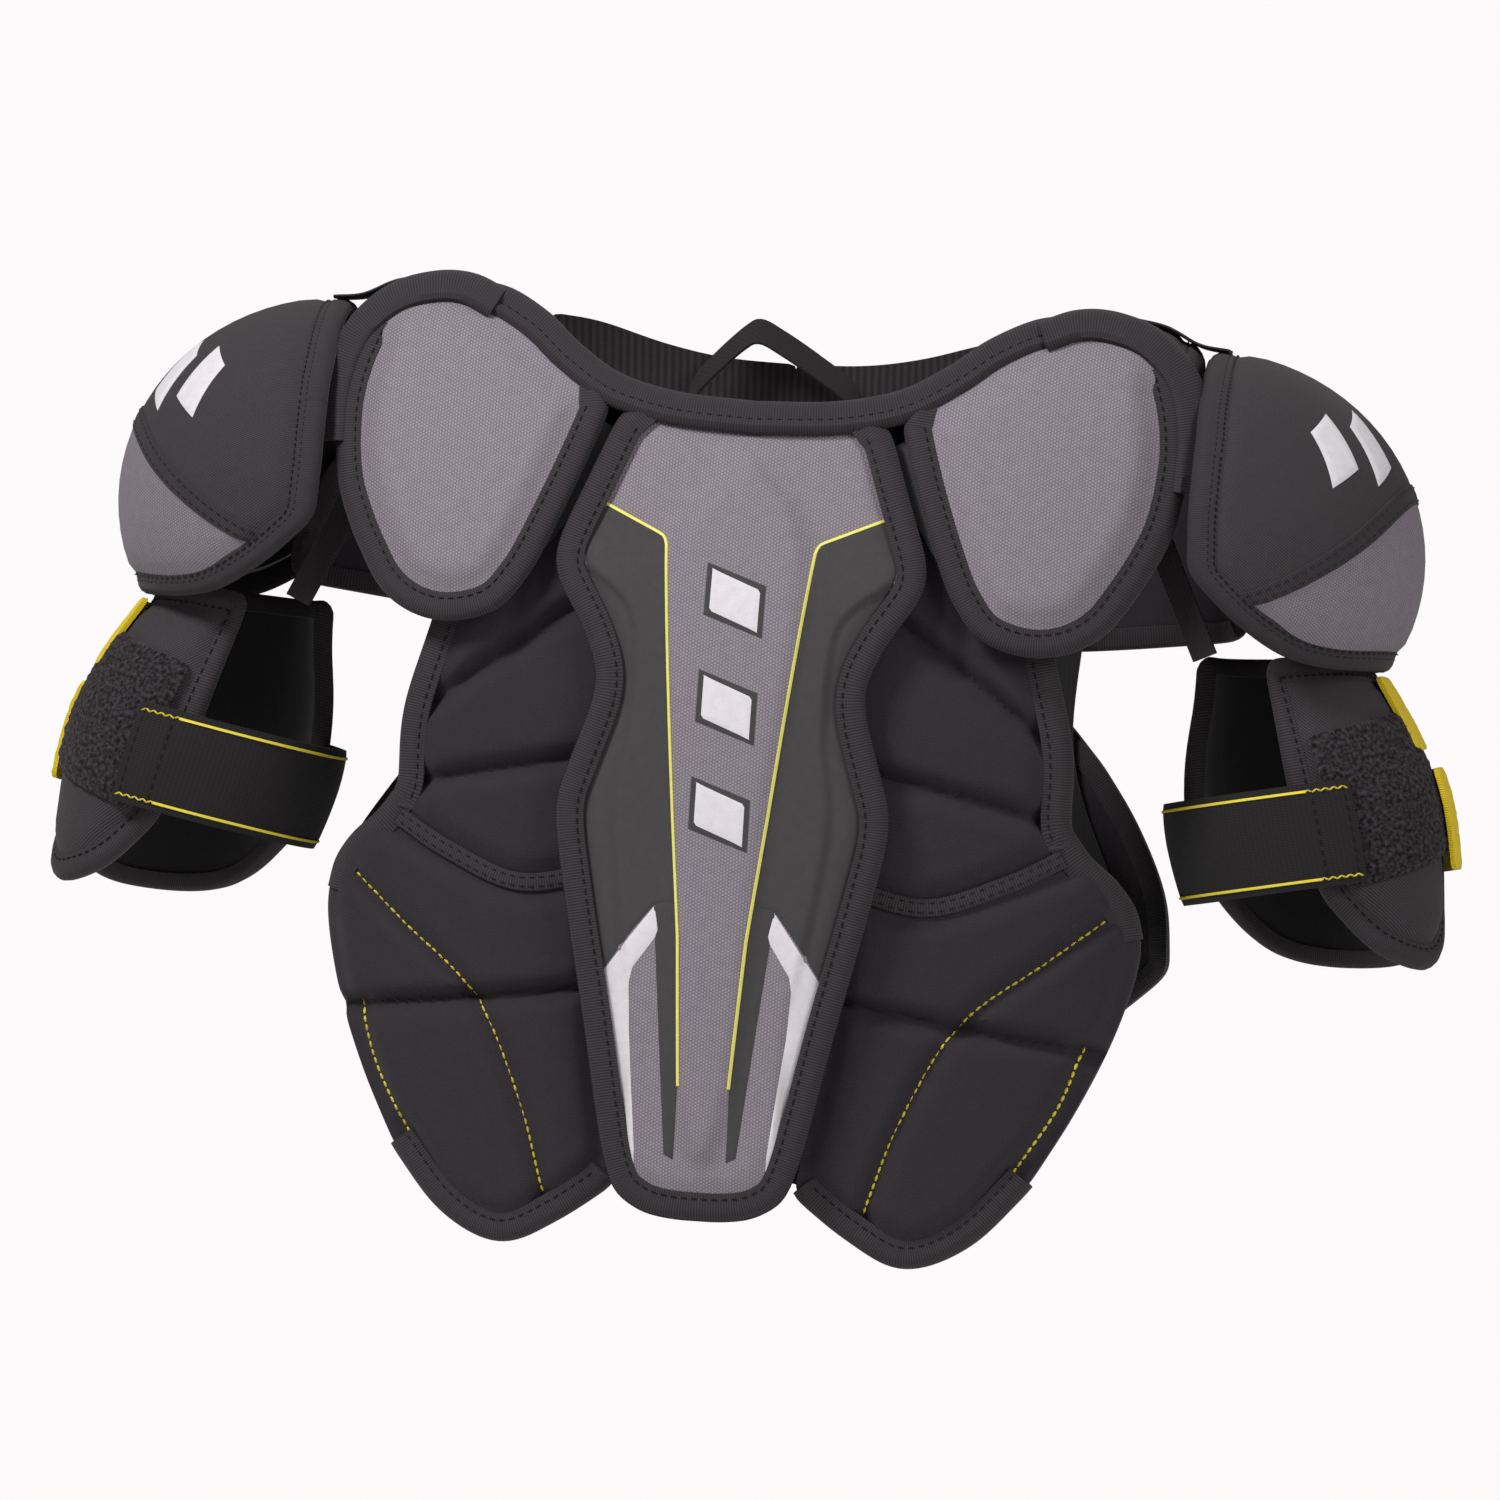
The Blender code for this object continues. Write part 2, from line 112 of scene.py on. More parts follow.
class Cut:
    """A flat pattern piece inside four edges with rounded corners. Tape is bound along some of them,
    and runs on past their ends by tail."""

    def __init__(self, outline, bound=EDGES, spacing=2.6, rounding=8, line=curve_through, tail=2.2):
        def length(edge):
            return np.linalg.norm(np.diff(np.array(edge, float), axis=0), axis=1).sum()
        top, outer, bottom, inner = outline
        self.columns = max(int(max(length(top), length(bottom)) / spacing), 3)
        self.rows = max(int(max(length(outer), length(inner)) / spacing), 3)
        n, m = self.columns, self.rows
        loop = np.vstack([line(top, n)[:-1], line(outer, m)[:-1],
                          line(bottom, n)[:0:-1], line(inner, m)[:0:-1]])
        for _ in range(rounding):
            loop = (np.roll(loop, 1, axis=0) + 2 * loop + np.roll(loop, -1, axis=0)) / 4
        self.loop = loop
        closed = np.vstack([loop, loop[:1]])
        starts = dict(zip(EDGES, (0, n, n + m, 2 * n + m)))
        self.first = starts[bound[0]]
        self.last = starts[bound[-1]] + (n if bound[-1] in ("top", "bottom") else m)
        self.closed, self.tail = bound == EDGES, tail
        top, outer = closed[:n + 1], closed[n:n + m + 1]
        bottom, inner = closed[n + m:2 * n + m + 1][::-1], closed[2 * n + m:][::-1]
        u = np.linspace(0, 1, n + 1)[None, :, None]
        v = np.linspace(0, 1, m + 1)[:, None, None]
        corners = (top[0] * (1 - u) * (1 - v) + top[-1] * u * (1 - v)
                   + bottom[0] * (1 - u) * v + bottom[-1] * u * v)
        grid = top * (1 - v) + bottom * v + inner[:, None] * (1 - u) + outer[:, None] * u - corners
        self.flat = grid.reshape(-1, 2)
        self.edge = self.gap(self.flat)

    def gap(self, points):
        """Distance from points to the bound edges, where a sewn edge counts as SEWN further off."""
        ring = np.vstack([self.loop, self.loop[:1]])
        away = gap_to(points, ring[self.first:self.last + 1])
        for rest in (ring[:self.first + 1], ring[self.last:]):
            if len(rest) > 1:
                away = np.minimum(away, gap_to(points, rest) + SEWN)
        return away

    def rim(self, inset=0.0):
        """The bound edges, drawn in by inset."""
        smoothed = self.loop
        for _ in range(int(abs(inset))):
            smoothed = (np.roll(smoothed, 1, axis=0) + smoothed + np.roll(smoothed, -1, axis=0)) / 3
        ahead = np.roll(smoothed, -1, axis=0) - np.roll(smoothed, 1, axis=0)
        inward = np.stack([ahead[:, 1], -ahead[:, 0]], axis=1)
        inward /= np.linalg.norm(inward, axis=1)[:, None] + 1e-9
        drawn = self.loop + inward * inset
        if self.closed:
            return drawn
        part = np.vstack([drawn, drawn[:1]])[self.first:self.last + 1]
        return np.vstack([part[:1] + (part[0] - part[2]) * self.tail, part,
                          part[-1:] + (part[-1] - part[-3]) * self.tail])


def gap_to(points, line):
    """Distance from each point to a line of points."""
    a = line[:-1][None]
    run = (line[1:] - line[:-1])[None]
    share = ((points[:, None] - a) * run).sum(2) / np.maximum((run ** 2).sum(2), 1e-9)
    nearest = a + run * np.clip(share, 0, 1)[:, :, None]
    return np.sqrt(((points[:, None] - nearest) ** 2).sum(2)).min(1)


def build(name, points, faces, flat, side, smooth_angle=50):
    """Mesh object from points in millimetres, with the cloth's own flat size in its weave map."""
    points = np.array(points, float) * (0.001 * side, 0.001, 0.001)
    mesh = bpy.data.meshes.new(name)
    mesh.from_pydata(points.tolist(), [], faces)
    layer = mesh.uv_layers.new(name="weave")
    corners = np.zeros(len(mesh.loops), int)
    mesh.loops.foreach_get("vertex_index", corners)
    layer.data.foreach_set("uv", (np.array(flat)[corners] * 0.001).astype(np.float32).ravel())
    bm = bmesh.new()
    bm.from_mesh(mesh)
    bmesh.ops.recalc_face_normals(bm, faces=bm.faces)
    bm.to_mesh(mesh)
    bm.free()
    mesh.shade_smooth()
    mesh.set_sharp_from_angle(angle=math.radians(smooth_angle))
    obj = bpy.data.objects.new(name, mesh)
    bpy.context.scene.collection.objects.link(obj)
    return obj


def fit(obj, body, material, slot):
    obj.data.materials.append(material)
    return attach(obj, body)


def pad(name, cut, place, thick, height, side=1):
    """A closed pad on the cut: height(flat, edge) lifts its face, and its back lies thick below."""
    n, m = cut.columns, cut.rows
    face = place(cut.flat, height(cut.flat, cut.edge))
    back = place(cut.flat, np.full(len(cut.flat), -float(thick)))
    count = len(cut.flat)
    faces = []
    for r in range(m):
        for c in range(n):
            a = r * (n + 1) + c
            faces.append((a, a + n + 1, a + n + 2, a + 1))
            faces.append((count + a, count + a + 1, count + a + n + 2, count + a + n + 1))
    ring = [c for c in range(n)] + [r * (n + 1) + n for r in range(m)]
    ring += [m * (n + 1) + c for c in range(n, 0, -1)] + [r * (n + 1) for r in range(m, 0, -1)]
    for a, b in zip(ring, ring[1:] + ring[:1]):
        faces.append((a, b, count + b, count + a))
    return build(name, np.vstack([face, back]), faces, np.vstack([cut.flat, cut.flat]), side)


def swept(name, path, section, place, side, closed=True):
    """A strip along a flat path. The section's points are (distance inwards, lift above the surface)."""
    ahead = np.roll(path, -1, axis=0) - np.roll(path, 1, axis=0)
    if not closed:
        ahead[0], ahead[-1] = path[1] - path[0], path[-1] - path[-2]
    inward = np.stack([ahead[:, 1], -ahead[:, 0]], axis=1)
    inward /= np.linalg.norm(inward, axis=1)[:, None] + 1e-9
    run = np.concatenate([[0], np.cumsum(np.linalg.norm(np.diff(path, axis=0), axis=1))])
    girth = np.concatenate([[0], np.cumsum(np.linalg.norm(np.diff(section, axis=0), axis=1))])
    points = [place(path + inward * d, np.full(len(path), float(h))) for d, h in section]
    flat = [np.stack([run, np.full(len(path), g)], axis=1) for g in girth]
    n, k = len(path), len(section)
    faces = [(j * n + i, j * n + (i + 1) % n, (j + 1) % k * n + (i + 1) % n, (j + 1) % k * n + i)
             for j in range(k) for i in range(n if closed else n - 1)]
    if not closed:
        faces += [tuple(j * n for j in range(k)), tuple(j * n + n - 1 for j in reversed(range(k)))]
    return build(name, np.vstack(points), faces, np.vstack(flat), side)


def padded_face(place, cut, height):
    """The padded face of a cut as a surface of its own, for what is sewn or printed on it."""
    return lambda flat, lift: place(flat, lift + height(flat, cut.gap(flat)))


def stitches(name, paths, place, side, pitch=4.0, length=2.5, wide=0.8, lift=0.0, zigzag=0.0):
    """Thread dashes along flat paths, each a small rounded bar that stands on the surface."""
    points, faces = [], []
    for path in paths:
        run = np.concatenate([[0], np.cumsum(np.linalg.norm(np.diff(path, axis=0), axis=1))])
        for i, start in enumerate(np.arange(pitch / 2, run[-1] - length / 2, pitch)):
            at = np.array([start - length / 2, start, start + length / 2])
            line = np.stack([np.interp(at, run, path[:, 0]), np.interp(at, run, path[:, 1])], axis=1)
            ahead = (line[2] - line[0]) / (np.linalg.norm(line[2] - line[0]) + 1e-9)
            aside = np.array([ahead[1], -ahead[0]])
            slant = aside * zigzag * (1 if i % 2 else -1)
            line = line + np.array([-0.5, 0, 0.5])[:, None] * slant * 2
            rows = [(line[0], 0.5, 0.0), (line[1], 1.0, 0.35), (line[2], 0.5, 0.0)]
            base = len(points)
            for spot, share, high in rows:
                half = wide / 2 * share
                for d, h in ((-half, lift - 0.5), (0, lift + high + 0.2), (half, lift - 0.5)):
                    points.append((*(spot + aside * d), h))
            for r in range(2):
                for c in range(3):
                    a, b = base + r * 3 + c, base + r * 3 + (c + 1) % 3
                    faces.append((a, b, b + 3, a + 3))
            faces += [(base, base + 2, base + 1), (base + 6, base + 7, base + 8)]
    points = np.array(points)
    return build(name, place(points[:, :2], points[:, 2]), faces, points[:, :2], side, smooth_angle=80)


class Wire:
    """A shader value that can be added, multiplied and so on."""

    def __init__(self, tree, socket=None):
        self.tree = tree
        self.socket = socket

    def node(self, kind, values=(), out=0, **settings):
        """Adds any node, with its inputs by name or number."""
        made = self.tree.nodes.new(kind)
        for key, value in settings.items():
            setattr(made, key, value)
        for key, value in dict(values).items():
            if isinstance(value, Wire):
                self.tree.links.new(value.socket, made.inputs[key])
            else:
                made.inputs[key].default_value = value
        return Wire(self.tree, made.outputs[out])

    def math(self, operation, *others):
        return self.node("ShaderNodeMath", enumerate((self, *others)), operation=operation)

    def __add__(self, other):
        return self.math("ADD", other)

    def __sub__(self, other):
        return self.math("SUBTRACT", other)

    def __mul__(self, other):
        return self.math("MULTIPLY", other)

    def wave(self, period):
        """Cosine of this many millimetres, from -1 to 1."""
        return self.math("MULTIPLY", 2 * math.pi / period).math("COSINE")

    __radd__ = __add__
    __rmul__ = __mul__


def linear(colour):
    """Linear light from a screen colour of 0 to 255."""
    return tuple(((c / 255 + 0.055) / 1.055) ** 2.4 if c > 10 else c / 255 / 12.92 for c in colour) + (1.0,)


def cloth(name, dark, light, weave, bump=0.3, roughness=0.85, sheen=0.06, mottle=0.12, grain=0.4,
          tuft=1500.0):
    """Fabric whose weave(u, v), in millimetres, runs from 0 in its hollows to 1 on its threads."""
    material = bpy.data.materials.new(name)
    material.use_nodes = True
    tree = material.node_tree
    shader = tree.nodes["Principled BSDF"]
    wire = Wire(tree)
    spot = wire.node("ShaderNodeUVMap", uv_map="weave")
    u, v = (spot.node("ShaderNodeSeparateXYZ", {0: spot}, out=i) * 1000 for i in (0, 1))
    yarn = weave(u, v)
    patchy = wire.node("ShaderNodeTexNoise", {"Vector": spot, "Scale": 220.0, "Detail": 3.0})
    fine = wire.node("ShaderNodeTexNoise", {"Vector": spot, "Scale": tuft, "Detail": 2.0})
    shade = yarn * 0.8 + fine * (grain + 0.1) - (grain / 2 - 0.05)
    colour = wire.node("ShaderNodeMix", {0: shade, 6: linear(dark), 7: linear(light)},
                       out=2, data_type="RGBA")
    level = patchy * (2 * mottle) + (1 - mottle)
    toned = wire.node("ShaderNodeMix", {0: 1.0, 6: colour, 7: level},
                      out=2, data_type="RGBA", blend_type="MULTIPLY")
    tree.links.new(toned.socket, shader.inputs["Base Color"])
    relief = wire.node("ShaderNodeBump",
                       {"Height": yarn + fine * grain, "Strength": bump, "Distance": 0.0003})
    tree.links.new(relief.socket, shader.inputs["Normal"])
    shader.inputs["Roughness"].default_value = roughness
    shader.inputs["Sheen Weight"].default_value = sheen
    shader.inputs["Sheen Roughness"].default_value = 0.5
    shader.inputs["Specular IOR Level"].default_value = 0.25
    return material


def knit_weave(u, v):
    return ((u + v).wave(1.3) + (u - v).wave(1.3)) * 0.25 + 0.5


def rib_weave(u, v):
    return u.wave(1.1) * 0.5 + 0.5


def plain_weave(u, v):
    return u.wave(0.9) * v.wave(0.9) * 0.5 + 0.5


def thread(name, colour):
    material = bpy.data.materials.new(name)
    material.use_nodes = True
    shader = material.node_tree.nodes["Principled BSDF"]
    shader.inputs["Base Color"].default_value = linear(colour)
    shader.inputs["Roughness"].default_value = 0.6
    return material


chest_knit = cloth("chest_knit", (26, 22, 26), (52, 46, 52), knit_weave)
binding_tape = cloth("binding_tape", (33, 29, 32), (60, 55, 59), rib_weave, bump=0.35)
black_thread = thread("black_thread", (14, 13, 14))
yellow_thread = thread("yellow_thread", (226, 208, 60))

TAPE_WIDTH = 9.5


def tape_section(thick, sunk, width=TAPE_WIDTH):
    """Rolled tape over an edge: a fat turn outside, flat on the face, folded under behind."""
    return [(width, -sunk - 0.3), (width - 0.3, -sunk + 0.7), (width - 3, -sunk + 1.0), (3.6, -sunk + 1.9),
            (1.4, -sunk + 1.7), (-0.6, -sunk + 0.5), (-1.7, -sunk - 1.2), (-2.0, -(thick + sunk) / 2),
            (-1.5, -thick + 0.4), (0.2, -thick - 0.7), (width - 3, -thick - 0.9),
            (width - 2.6, -thick + 0.2)]


def bound(name, cut, place, thick, sunk, body, side, slot="charcoal_twill", width=TAPE_WIDTH, rows=(3.0,)):
    """Binding tape round a cut's edge, with its rows of stitches measured from the tape's inner edge."""
    tape = swept(name + "_binding", cut.rim(), tape_section(thick, sunk, width), place, side, cut.closed)
    fit(tape, body, binding_tape, slot)
    lines = [cut.rim(width - row) for row in rows]
    if cut.closed:
        lines = [np.vstack([ring, ring[:1]]) for ring in lines]
    seam = stitches(name + "_stitches", lines, place, side, lift=-sunk + 1.25)
    fit(seam, body, black_thread, slot)


def face_height(sunk=2.6, crown=0.6, band=TAPE_WIDTH, roll=8.0, creases=()):
    """Face of a pad: pulled down under its tape, rolling up inside it, with pressed creases."""
    def height(flat, edge):
        lift = crown - (crown + sunk) * (1 - smooth((edge - band + 2) / roll))
        for line, depth, width in creases:
            away = gap_to(flat, curve_through(line, 24))
            lift = lift - depth * np.exp(-(away / width) ** 2)
        return lift
    return height


PAD_LIFT, PAD_THICK = 15, 10.4
CHEST = ([(44, -10), (80, -14), (114, -26)],
         [(114, -26), (120, -76), (131, -120), (132, -150), (137, -158)],
         [(46, -176), (80, -184), (112, -172), (137, -158)],
         [(44, -10), (50, -60), (40, -105), (46, -176)])
BELLY = ([(48, -181), (80, -188), (114, -176), (141, -163)],
         [(141, -163), (156, -178), (162, -198), (155, -230), (142, -262), (126, -292)],
         [(36, -300), (58, -316), (80, -326), (104, -316), (126, -292)],
         [(48, -181), (46, -240), (36, -300)])
BELLY_CORNER = [(134, -154), (141, -163), (151, -172), (158, -182), (161, -193)]
SEAM = [(46, -178.5), (80, -185.5), (110, -175), (132, -163)]
SEAM_TAPE = [(-3.6, -1.6), (-3.2, 0.5), (0, 1.2), (3.2, 0.5), (3.6, -1.6), (0, -2)]
CHEST_CREASES = [([(50, -66), (88, -92), (122, -118)], 7.5, 4.0),
                 ([(44, -132), (90, -141), (132, -150)], 7.0, 4.0),
                 ([(104, -20), (92, -50), (88, -92)], 2.5, 5.0)]
BELLY_CREASES = [([(46, -224), (95, -232), (165, -240)], 7.5, 3.6),
                 ([(152, -184), (128, -204), (96, -232), (76, -270), (62, -314)], 4.5, 3.6),
                 ([(144, -236), (135, -262), (114, -298)], 3.0, 4.0)]
BELLY_YELLOW = [[(152, -184), (128, -204), (96, -231), (76, -269), (63, -308)],
                [(144, -236), (135, -262), (117, -292)]]

for word, side in SIDES:
    place = on_torso(PAD_LIFT)
    for name, outline, taped, creases in (("chest_pad", CHEST, ("outer",), CHEST_CREASES),
                                          ("belly_pad", BELLY, ("bottom",), BELLY_CREASES)):
        cut = Cut(outline, taped, rounding=4, tail=0.1)
        height = face_height(crown=1.6, creases=creases)
        obj = pad(name + "_foam_" + word, cut, place, PAD_THICK, height, side)
        fit(obj, "root", chest_knit, "chest_fabric")
        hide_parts(name + "_" + word)
        bound(name + "_" + word, cut, place, PAD_THICK, 2.6, "root", side)
        if outline is BELLY:
            corner = swept("belly_corner_binding_" + word, curve_through(BELLY_CORNER, 40),
                           tape_section(PAD_THICK, 2.6), place, side, closed=False)
            fit(corner, "root", binding_tape, "charcoal_twill")
            face = padded_face(place, cut, height)
            yellow = [curve_through(line, 60) for line in BELLY_YELLOW]
            thread_line = stitches("belly_yellow_" + word, yellow, face, side,
                                   pitch=3.4, length=2.5, wide=1.2, lift=0.6)
            fit(thread_line, "root", yellow_thread, "chest_fabric")
            seam = curve_through(SEAM, 40)
            tape = swept("seam_tape_" + word, seam, SEAM_TAPE, on_torso(PAD_LIFT - 1.4), side, closed=False)
            fit(tape, "root", binding_tape, "charcoal_twill")
            rows = [seam + (0, 1.8), seam - (0, 1.8)]
            fit(stitches("seam_tape_stitches_" + word, rows, on_torso(PAD_LIFT - 1.4), side, lift=0.9),
                "root", black_thread, "charcoal_twill")


# ---- liners
# Thin brushed tricot that lies on the player. Every pad is sewn to it, and it is hidden from in front.

LINER_LIFT, LINER_THICK = 2.2, 1.8
FRONT_LINER = ([(0, -10), (45, -8), (108, -18)],
               [(108, -18), (114, -76), (124, -140), (150, -185), (152, -220), (120, -288)],
               [(0, -296), (40, -298), (80, -318), (120, -288)],
               [(0, -10), (0, -150), (0, -296)])
BACK_LINER = ([(0, 1), (40, 0), (78, 2), (98, 0)],
              [(98, 0), (124, -40), (122, -120), (144, -176), (152, -200)],
              [(0, -228), (60, -232), (116, -226), (152, -200)],
              [(0, 1), (0, -110), (0, -228)])


def brushed_weave(u, v):
    return u.wave(2.1) * 0.2 + v.wave(0.7) * 0.2 + 0.5


def laid_flat(cut, place):
    """Width, length and area of a cut in metres, measured over its surface."""
    grid = place(cut.flat, np.zeros(len(cut.flat))).reshape(cut.rows + 1, cut.columns + 1, 3) / 1000
    right, down = np.diff(grid, axis=1), np.diff(grid, axis=0)
    width = np.linalg.norm(right, axis=2).sum(1).max()
    length = np.linalg.norm(down, axis=2).sum(0).max()
    return width, length, np.linalg.norm(np.cross(right[:-1], down[:, :-1]), axis=2).sum()


brushed_lining = cloth("brushed_lining", (14, 12, 13), (32, 29, 31), brushed_weave, bump=0.15, sheen=0.3)

for name, half, back in (("front_liner", FRONT_LINER, False), ("back_liner", BACK_LINER, True)):
    cut = Cut(both_halves(half), spacing=5, rounding=2)
    place = on_torso(LINER_LIFT, back)
    obj = pad(name + "_cloth", cut, place, LINER_THICK, lambda flat, edge: edge * 0, 1)
    fit(obj, "root", brushed_lining, "brushed_lining")
    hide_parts(name)
    width, length, area = laid_flat(cut, place)


# ---- sternum plate
# A stiff insert and foam under printed polyester mesh, moulded to a raised centre with side facets, its
# edge bound. Charcoal side prints are framed by yellow lines and silver chevrons; the bars are generic.

STERNUM_LIFT, STERNUM_THICK = 29, 3.6
FOAM_LIFT, FOAM_THICK = 21, 4.4
STERNUM = ([(0, -1), (28, 0), (51, 3)],
           [(51, 3), (62, -27), (71, -52), (70, -64), (60, -80), (52, -98), (52, -112), (60, -138),
            (64, -156), (58, -190), (48, -236), (38, -285), (32, -303)],
           [(0, -311.5), (8, -311.5), (21, -309.5), (32, -303)],
           [(0, -1), (0, -150), (0, -311.5)])
RAISED_CENTRE = [(0, -14), (27, -50), (19, -158), (11, -262), (0, -300)]
SIDE_FACET = [(62, -58), (41, -78), (38, -118), (42, -160), (30, -240)]
YELLOW_LINE = [(57, -34), (32, -45.5), (30.5, -46.5), (29.5, -49), (18.5, -157), (13.5, -203), (10, -261)]
YELLOW_SECTION = [(-0.65, 0.2), (-0.4, 0.75), (0.4, 0.75), (0.65, 0.2), (0, -0.4)]
PRINTS = [([(32, -45), (45, -40), (60, -33)],
           [(60, -33), (62, -52), (60, -63), (51, -80), (44, -98), (44, -112), (52, -138), (56, -156),
            (50, -190), (44, -219)],
           [(14.6, -189), (24, -191), (34, -204), (44, -219)],
           [(32, -45), (29.5, -49), (18.5, -157), (14.6, -189)]),
          ([(14.6, -188), (24, -190)], [(24, -190), (14.2, -288)], [(10.4, -290), (14.2, -288)],
           [(14.6, -188), (10.2, -261), (10.4, -290)])]
CHEVRON = ([(21, -201), (22, -196), (23.5, -191)],
           [(23.5, -191), (33, -204), (43.5, -219), (43.5, -225), (35, -258), (26, -294)],
           [(26, -287), (26, -290), (26, -294)],
           [(21, -201), (31, -216), (32, -222), (31, -240), (26, -287)])
BARS = [-70, -112, -154]                  # centres of three plain slanted bars, each 18 tall


def mesh_weave(u, v):
    third = math.sqrt(3) / 2
    return (u.wave(1.15) + (u * 0.5 + v * third).wave(1.15) + (u * 0.5 - v * third).wave(1.15)) * 0.22 + 0.33


def print_weave(u, v):
    return (u + v * 0.3).wave(0.8) * v.wave(0.8) * 0.4 + 0.5


grey_mesh = cloth("grey_mesh", (104, 97, 104), (156, 147, 156), mesh_weave, bump=0.35)
charcoal_print = cloth("charcoal_print", (48, 46, 47), (76, 73, 74), print_weave, bump=0.2)
silver_print = cloth("silver_print", (196, 191, 196), (228, 223, 227), print_weave, bump=0.15)
yellow_print = cloth("yellow_print", (222, 215, 96), (240, 234, 134), print_weave, bump=0.1)
moulded_insert = thread("moulded_insert", (62, 62, 66))
grey_foam = thread("grey_foam", (150, 150, 150))

place = on_torso(STERNUM_LIFT)
cut = Cut(both_halves(STERNUM), ("outer", "bottom", "inner"), spacing=2.4)
rim_height = face_height(sunk=1.6, crown=0.4)


def sternum_height(flat, edge):
    """The centre stands 4 proud between its ridges, each side steps down past its facet line, and the
    top falls back above a shallow V."""
    folded = np.stack([np.abs(flat[:, 0]), flat[:, 1]], axis=1)
    ridge = curve_through(RAISED_CENTRE, 60)
    inside = np.interp(-folded[:, 1], -ridge[:, 1], ridge[:, 0]) - folded[:, 0]
    centre = 4.2 * smooth(inside / 9 + 0.35) * smooth((-10 - flat[:, 1]) / 10)
    centre = centre * smooth((298 + flat[:, 1]) / 14)
    facet = curve_through(SIDE_FACET, 60)
    outside = folded[:, 0] - np.interp(-folded[:, 1], -facet[:, 1], facet[:, 0])
    side_step = 2.4 * smooth(outside / 4 + 0.5) * smooth((-56 - flat[:, 1]) / 8)
    top_facet = 0.2 * np.maximum(flat[:, 1] + 15 - 0.42 * folded[:, 0], 0)
    shoulders = 0.17 * np.clip(folded[:, 0] + 0.65 * np.minimum(15 + flat[:, 1], 0), 0, 16)
    shoulders = shoulders * smooth((70 + flat[:, 1]) / 30)
    return rim_height(flat, edge) + centre - side_step - top_facet - shoulders


sternum_face = padded_face(place, cut, sternum_height)
obj = pad("sternum_cover_cloth", cut, place, STERNUM_THICK, sternum_height)
fit(obj, "sternum_plate", grey_mesh, "grey_mesh")
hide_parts("sternum_cover")
bound("sternum", cut, place, STERNUM_THICK, 1.6, "sternum_plate", 1, rows=(2.6,))


def bent(points, steps):
    """Straight runs between points, as steps + 1 points."""
    points = np.array(points, float)
    run = np.concatenate([[0], np.cumsum(np.linalg.norm(np.diff(points, axis=0), axis=1))])
    at = np.linspace(0, run[-1], steps + 1)
    return np.stack([np.interp(at, run, points[:, 0]), np.interp(at, run, points[:, 1])], axis=1)


def inlay(name, outline, surface, body, material, slot, side=1, high=0.6):
    """A printed zone: a film on the cloth's face."""
    film = Cut(outline, spacing=1.8, rounding=0, line=bent)
    obj = pad(name, film, surface, 0.5, lambda flat, edge: high * smooth(edge / 0.4 + 0.3), side)
    return fit(obj, body, material, slot)


for word, side in SIDES:
    for i, outline in enumerate(PRINTS):
        inlay(f"sternum_print_{i}_{word}", outline, sternum_face, "sternum_plate",
              charcoal_print, "grey_mesh", side)
    inlay("sternum_chevron_" + word, CHEVRON, sternum_face, "sternum_plate",
          silver_print, "grey_mesh", side)
    line = swept("sternum_line_" + word, bent(YELLOW_LINE, 120), YELLOW_SECTION, sternum_face, side,
                 closed=False)
    fit(line, "sternum_plate", yellow_print, "grey_mesh")
for z in BARS:
    for name, grow, high, material in (("edge", 1.3, 0.4, charcoal_print), ("bar", 0, 0.7, silver_print)):
        a, b = 10.5 + grow, 9 + grow
        bar = ([(-a, z + b + 4), (a, z + b - 4)], [(a, z + b - 4), (a, z - b - 4)],
               [(-a, z - b + 4), (a, z - b - 4)], [(-a, z + b + 4), (-a, z - b + 4)])
        inlay(f"sternum_{name}_{-z}", bar, sternum_face, "sternum_plate", material, "grey_mesh", high=high)
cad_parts["sternum_insert"].data.materials[0] = moulded_insert
foam_outline = both_halves([[(x * 0.8, z * 0.94 - 8) for x, z in line] for line in STERNUM])
obj = pad("sternum_foam_sheet", Cut(foam_outline, spacing=4), on_torso(FOAM_LIFT), FOAM_THICK,
          face_height(sunk=0.8, crown=0, band=3))
fit(obj, "sternum_plate", grey_foam, "foam")
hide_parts("sternum_foam")


# ---- clavicle pads
# Foam domes under the same mesh, over a moulded insert, bound on their free edges, sewn on at the top.

CLAVICLE_LIFT, CLAVICLE_THICK = 31, 9
CLAVICLE = ([(59, 6), (78, 16), (94, 29), (111, 40), (134, 45), (152, 40), (164, 24)],
            [(164, 24), (168, 0), (165, -30), (156, -52)],
            [(84, -62), (97, -78), (120, -83), (141, -74), (156, -52)],
            [(59, 6), (67, -19), (76, -43), (84, -62)])

for word, side in SIDES:
    place = on_torso(CLAVICLE_LIFT)
    cut = Cut(CLAVICLE, ("outer", "bottom", "inner"), rounding=6)
    obj = pad("clavicle_foam_" + word, cut, place, CLAVICLE_THICK,
              face_height(sunk=3, crown=2.5, roll=12), side)
    fit(obj, "clavicle_" + word, grey_mesh, "grey_mesh")
    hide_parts("clavicle_pad_" + word)
    bound("clavicle_" + word, cut, place, CLAVICLE_THICK, 3, "clavicle_" + word, side, rows=(2.6,))
    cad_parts["clavicle_insert_" + word].data.materials[0] = moulded_insert


# ---- collar and hang loop
# The front of the neck is a soft tape rolled twice over a cord; the rear collar is ribbed knit that folds
# over at its top. A webbing loop sewn inside the rear collar hangs the pads on a hook.

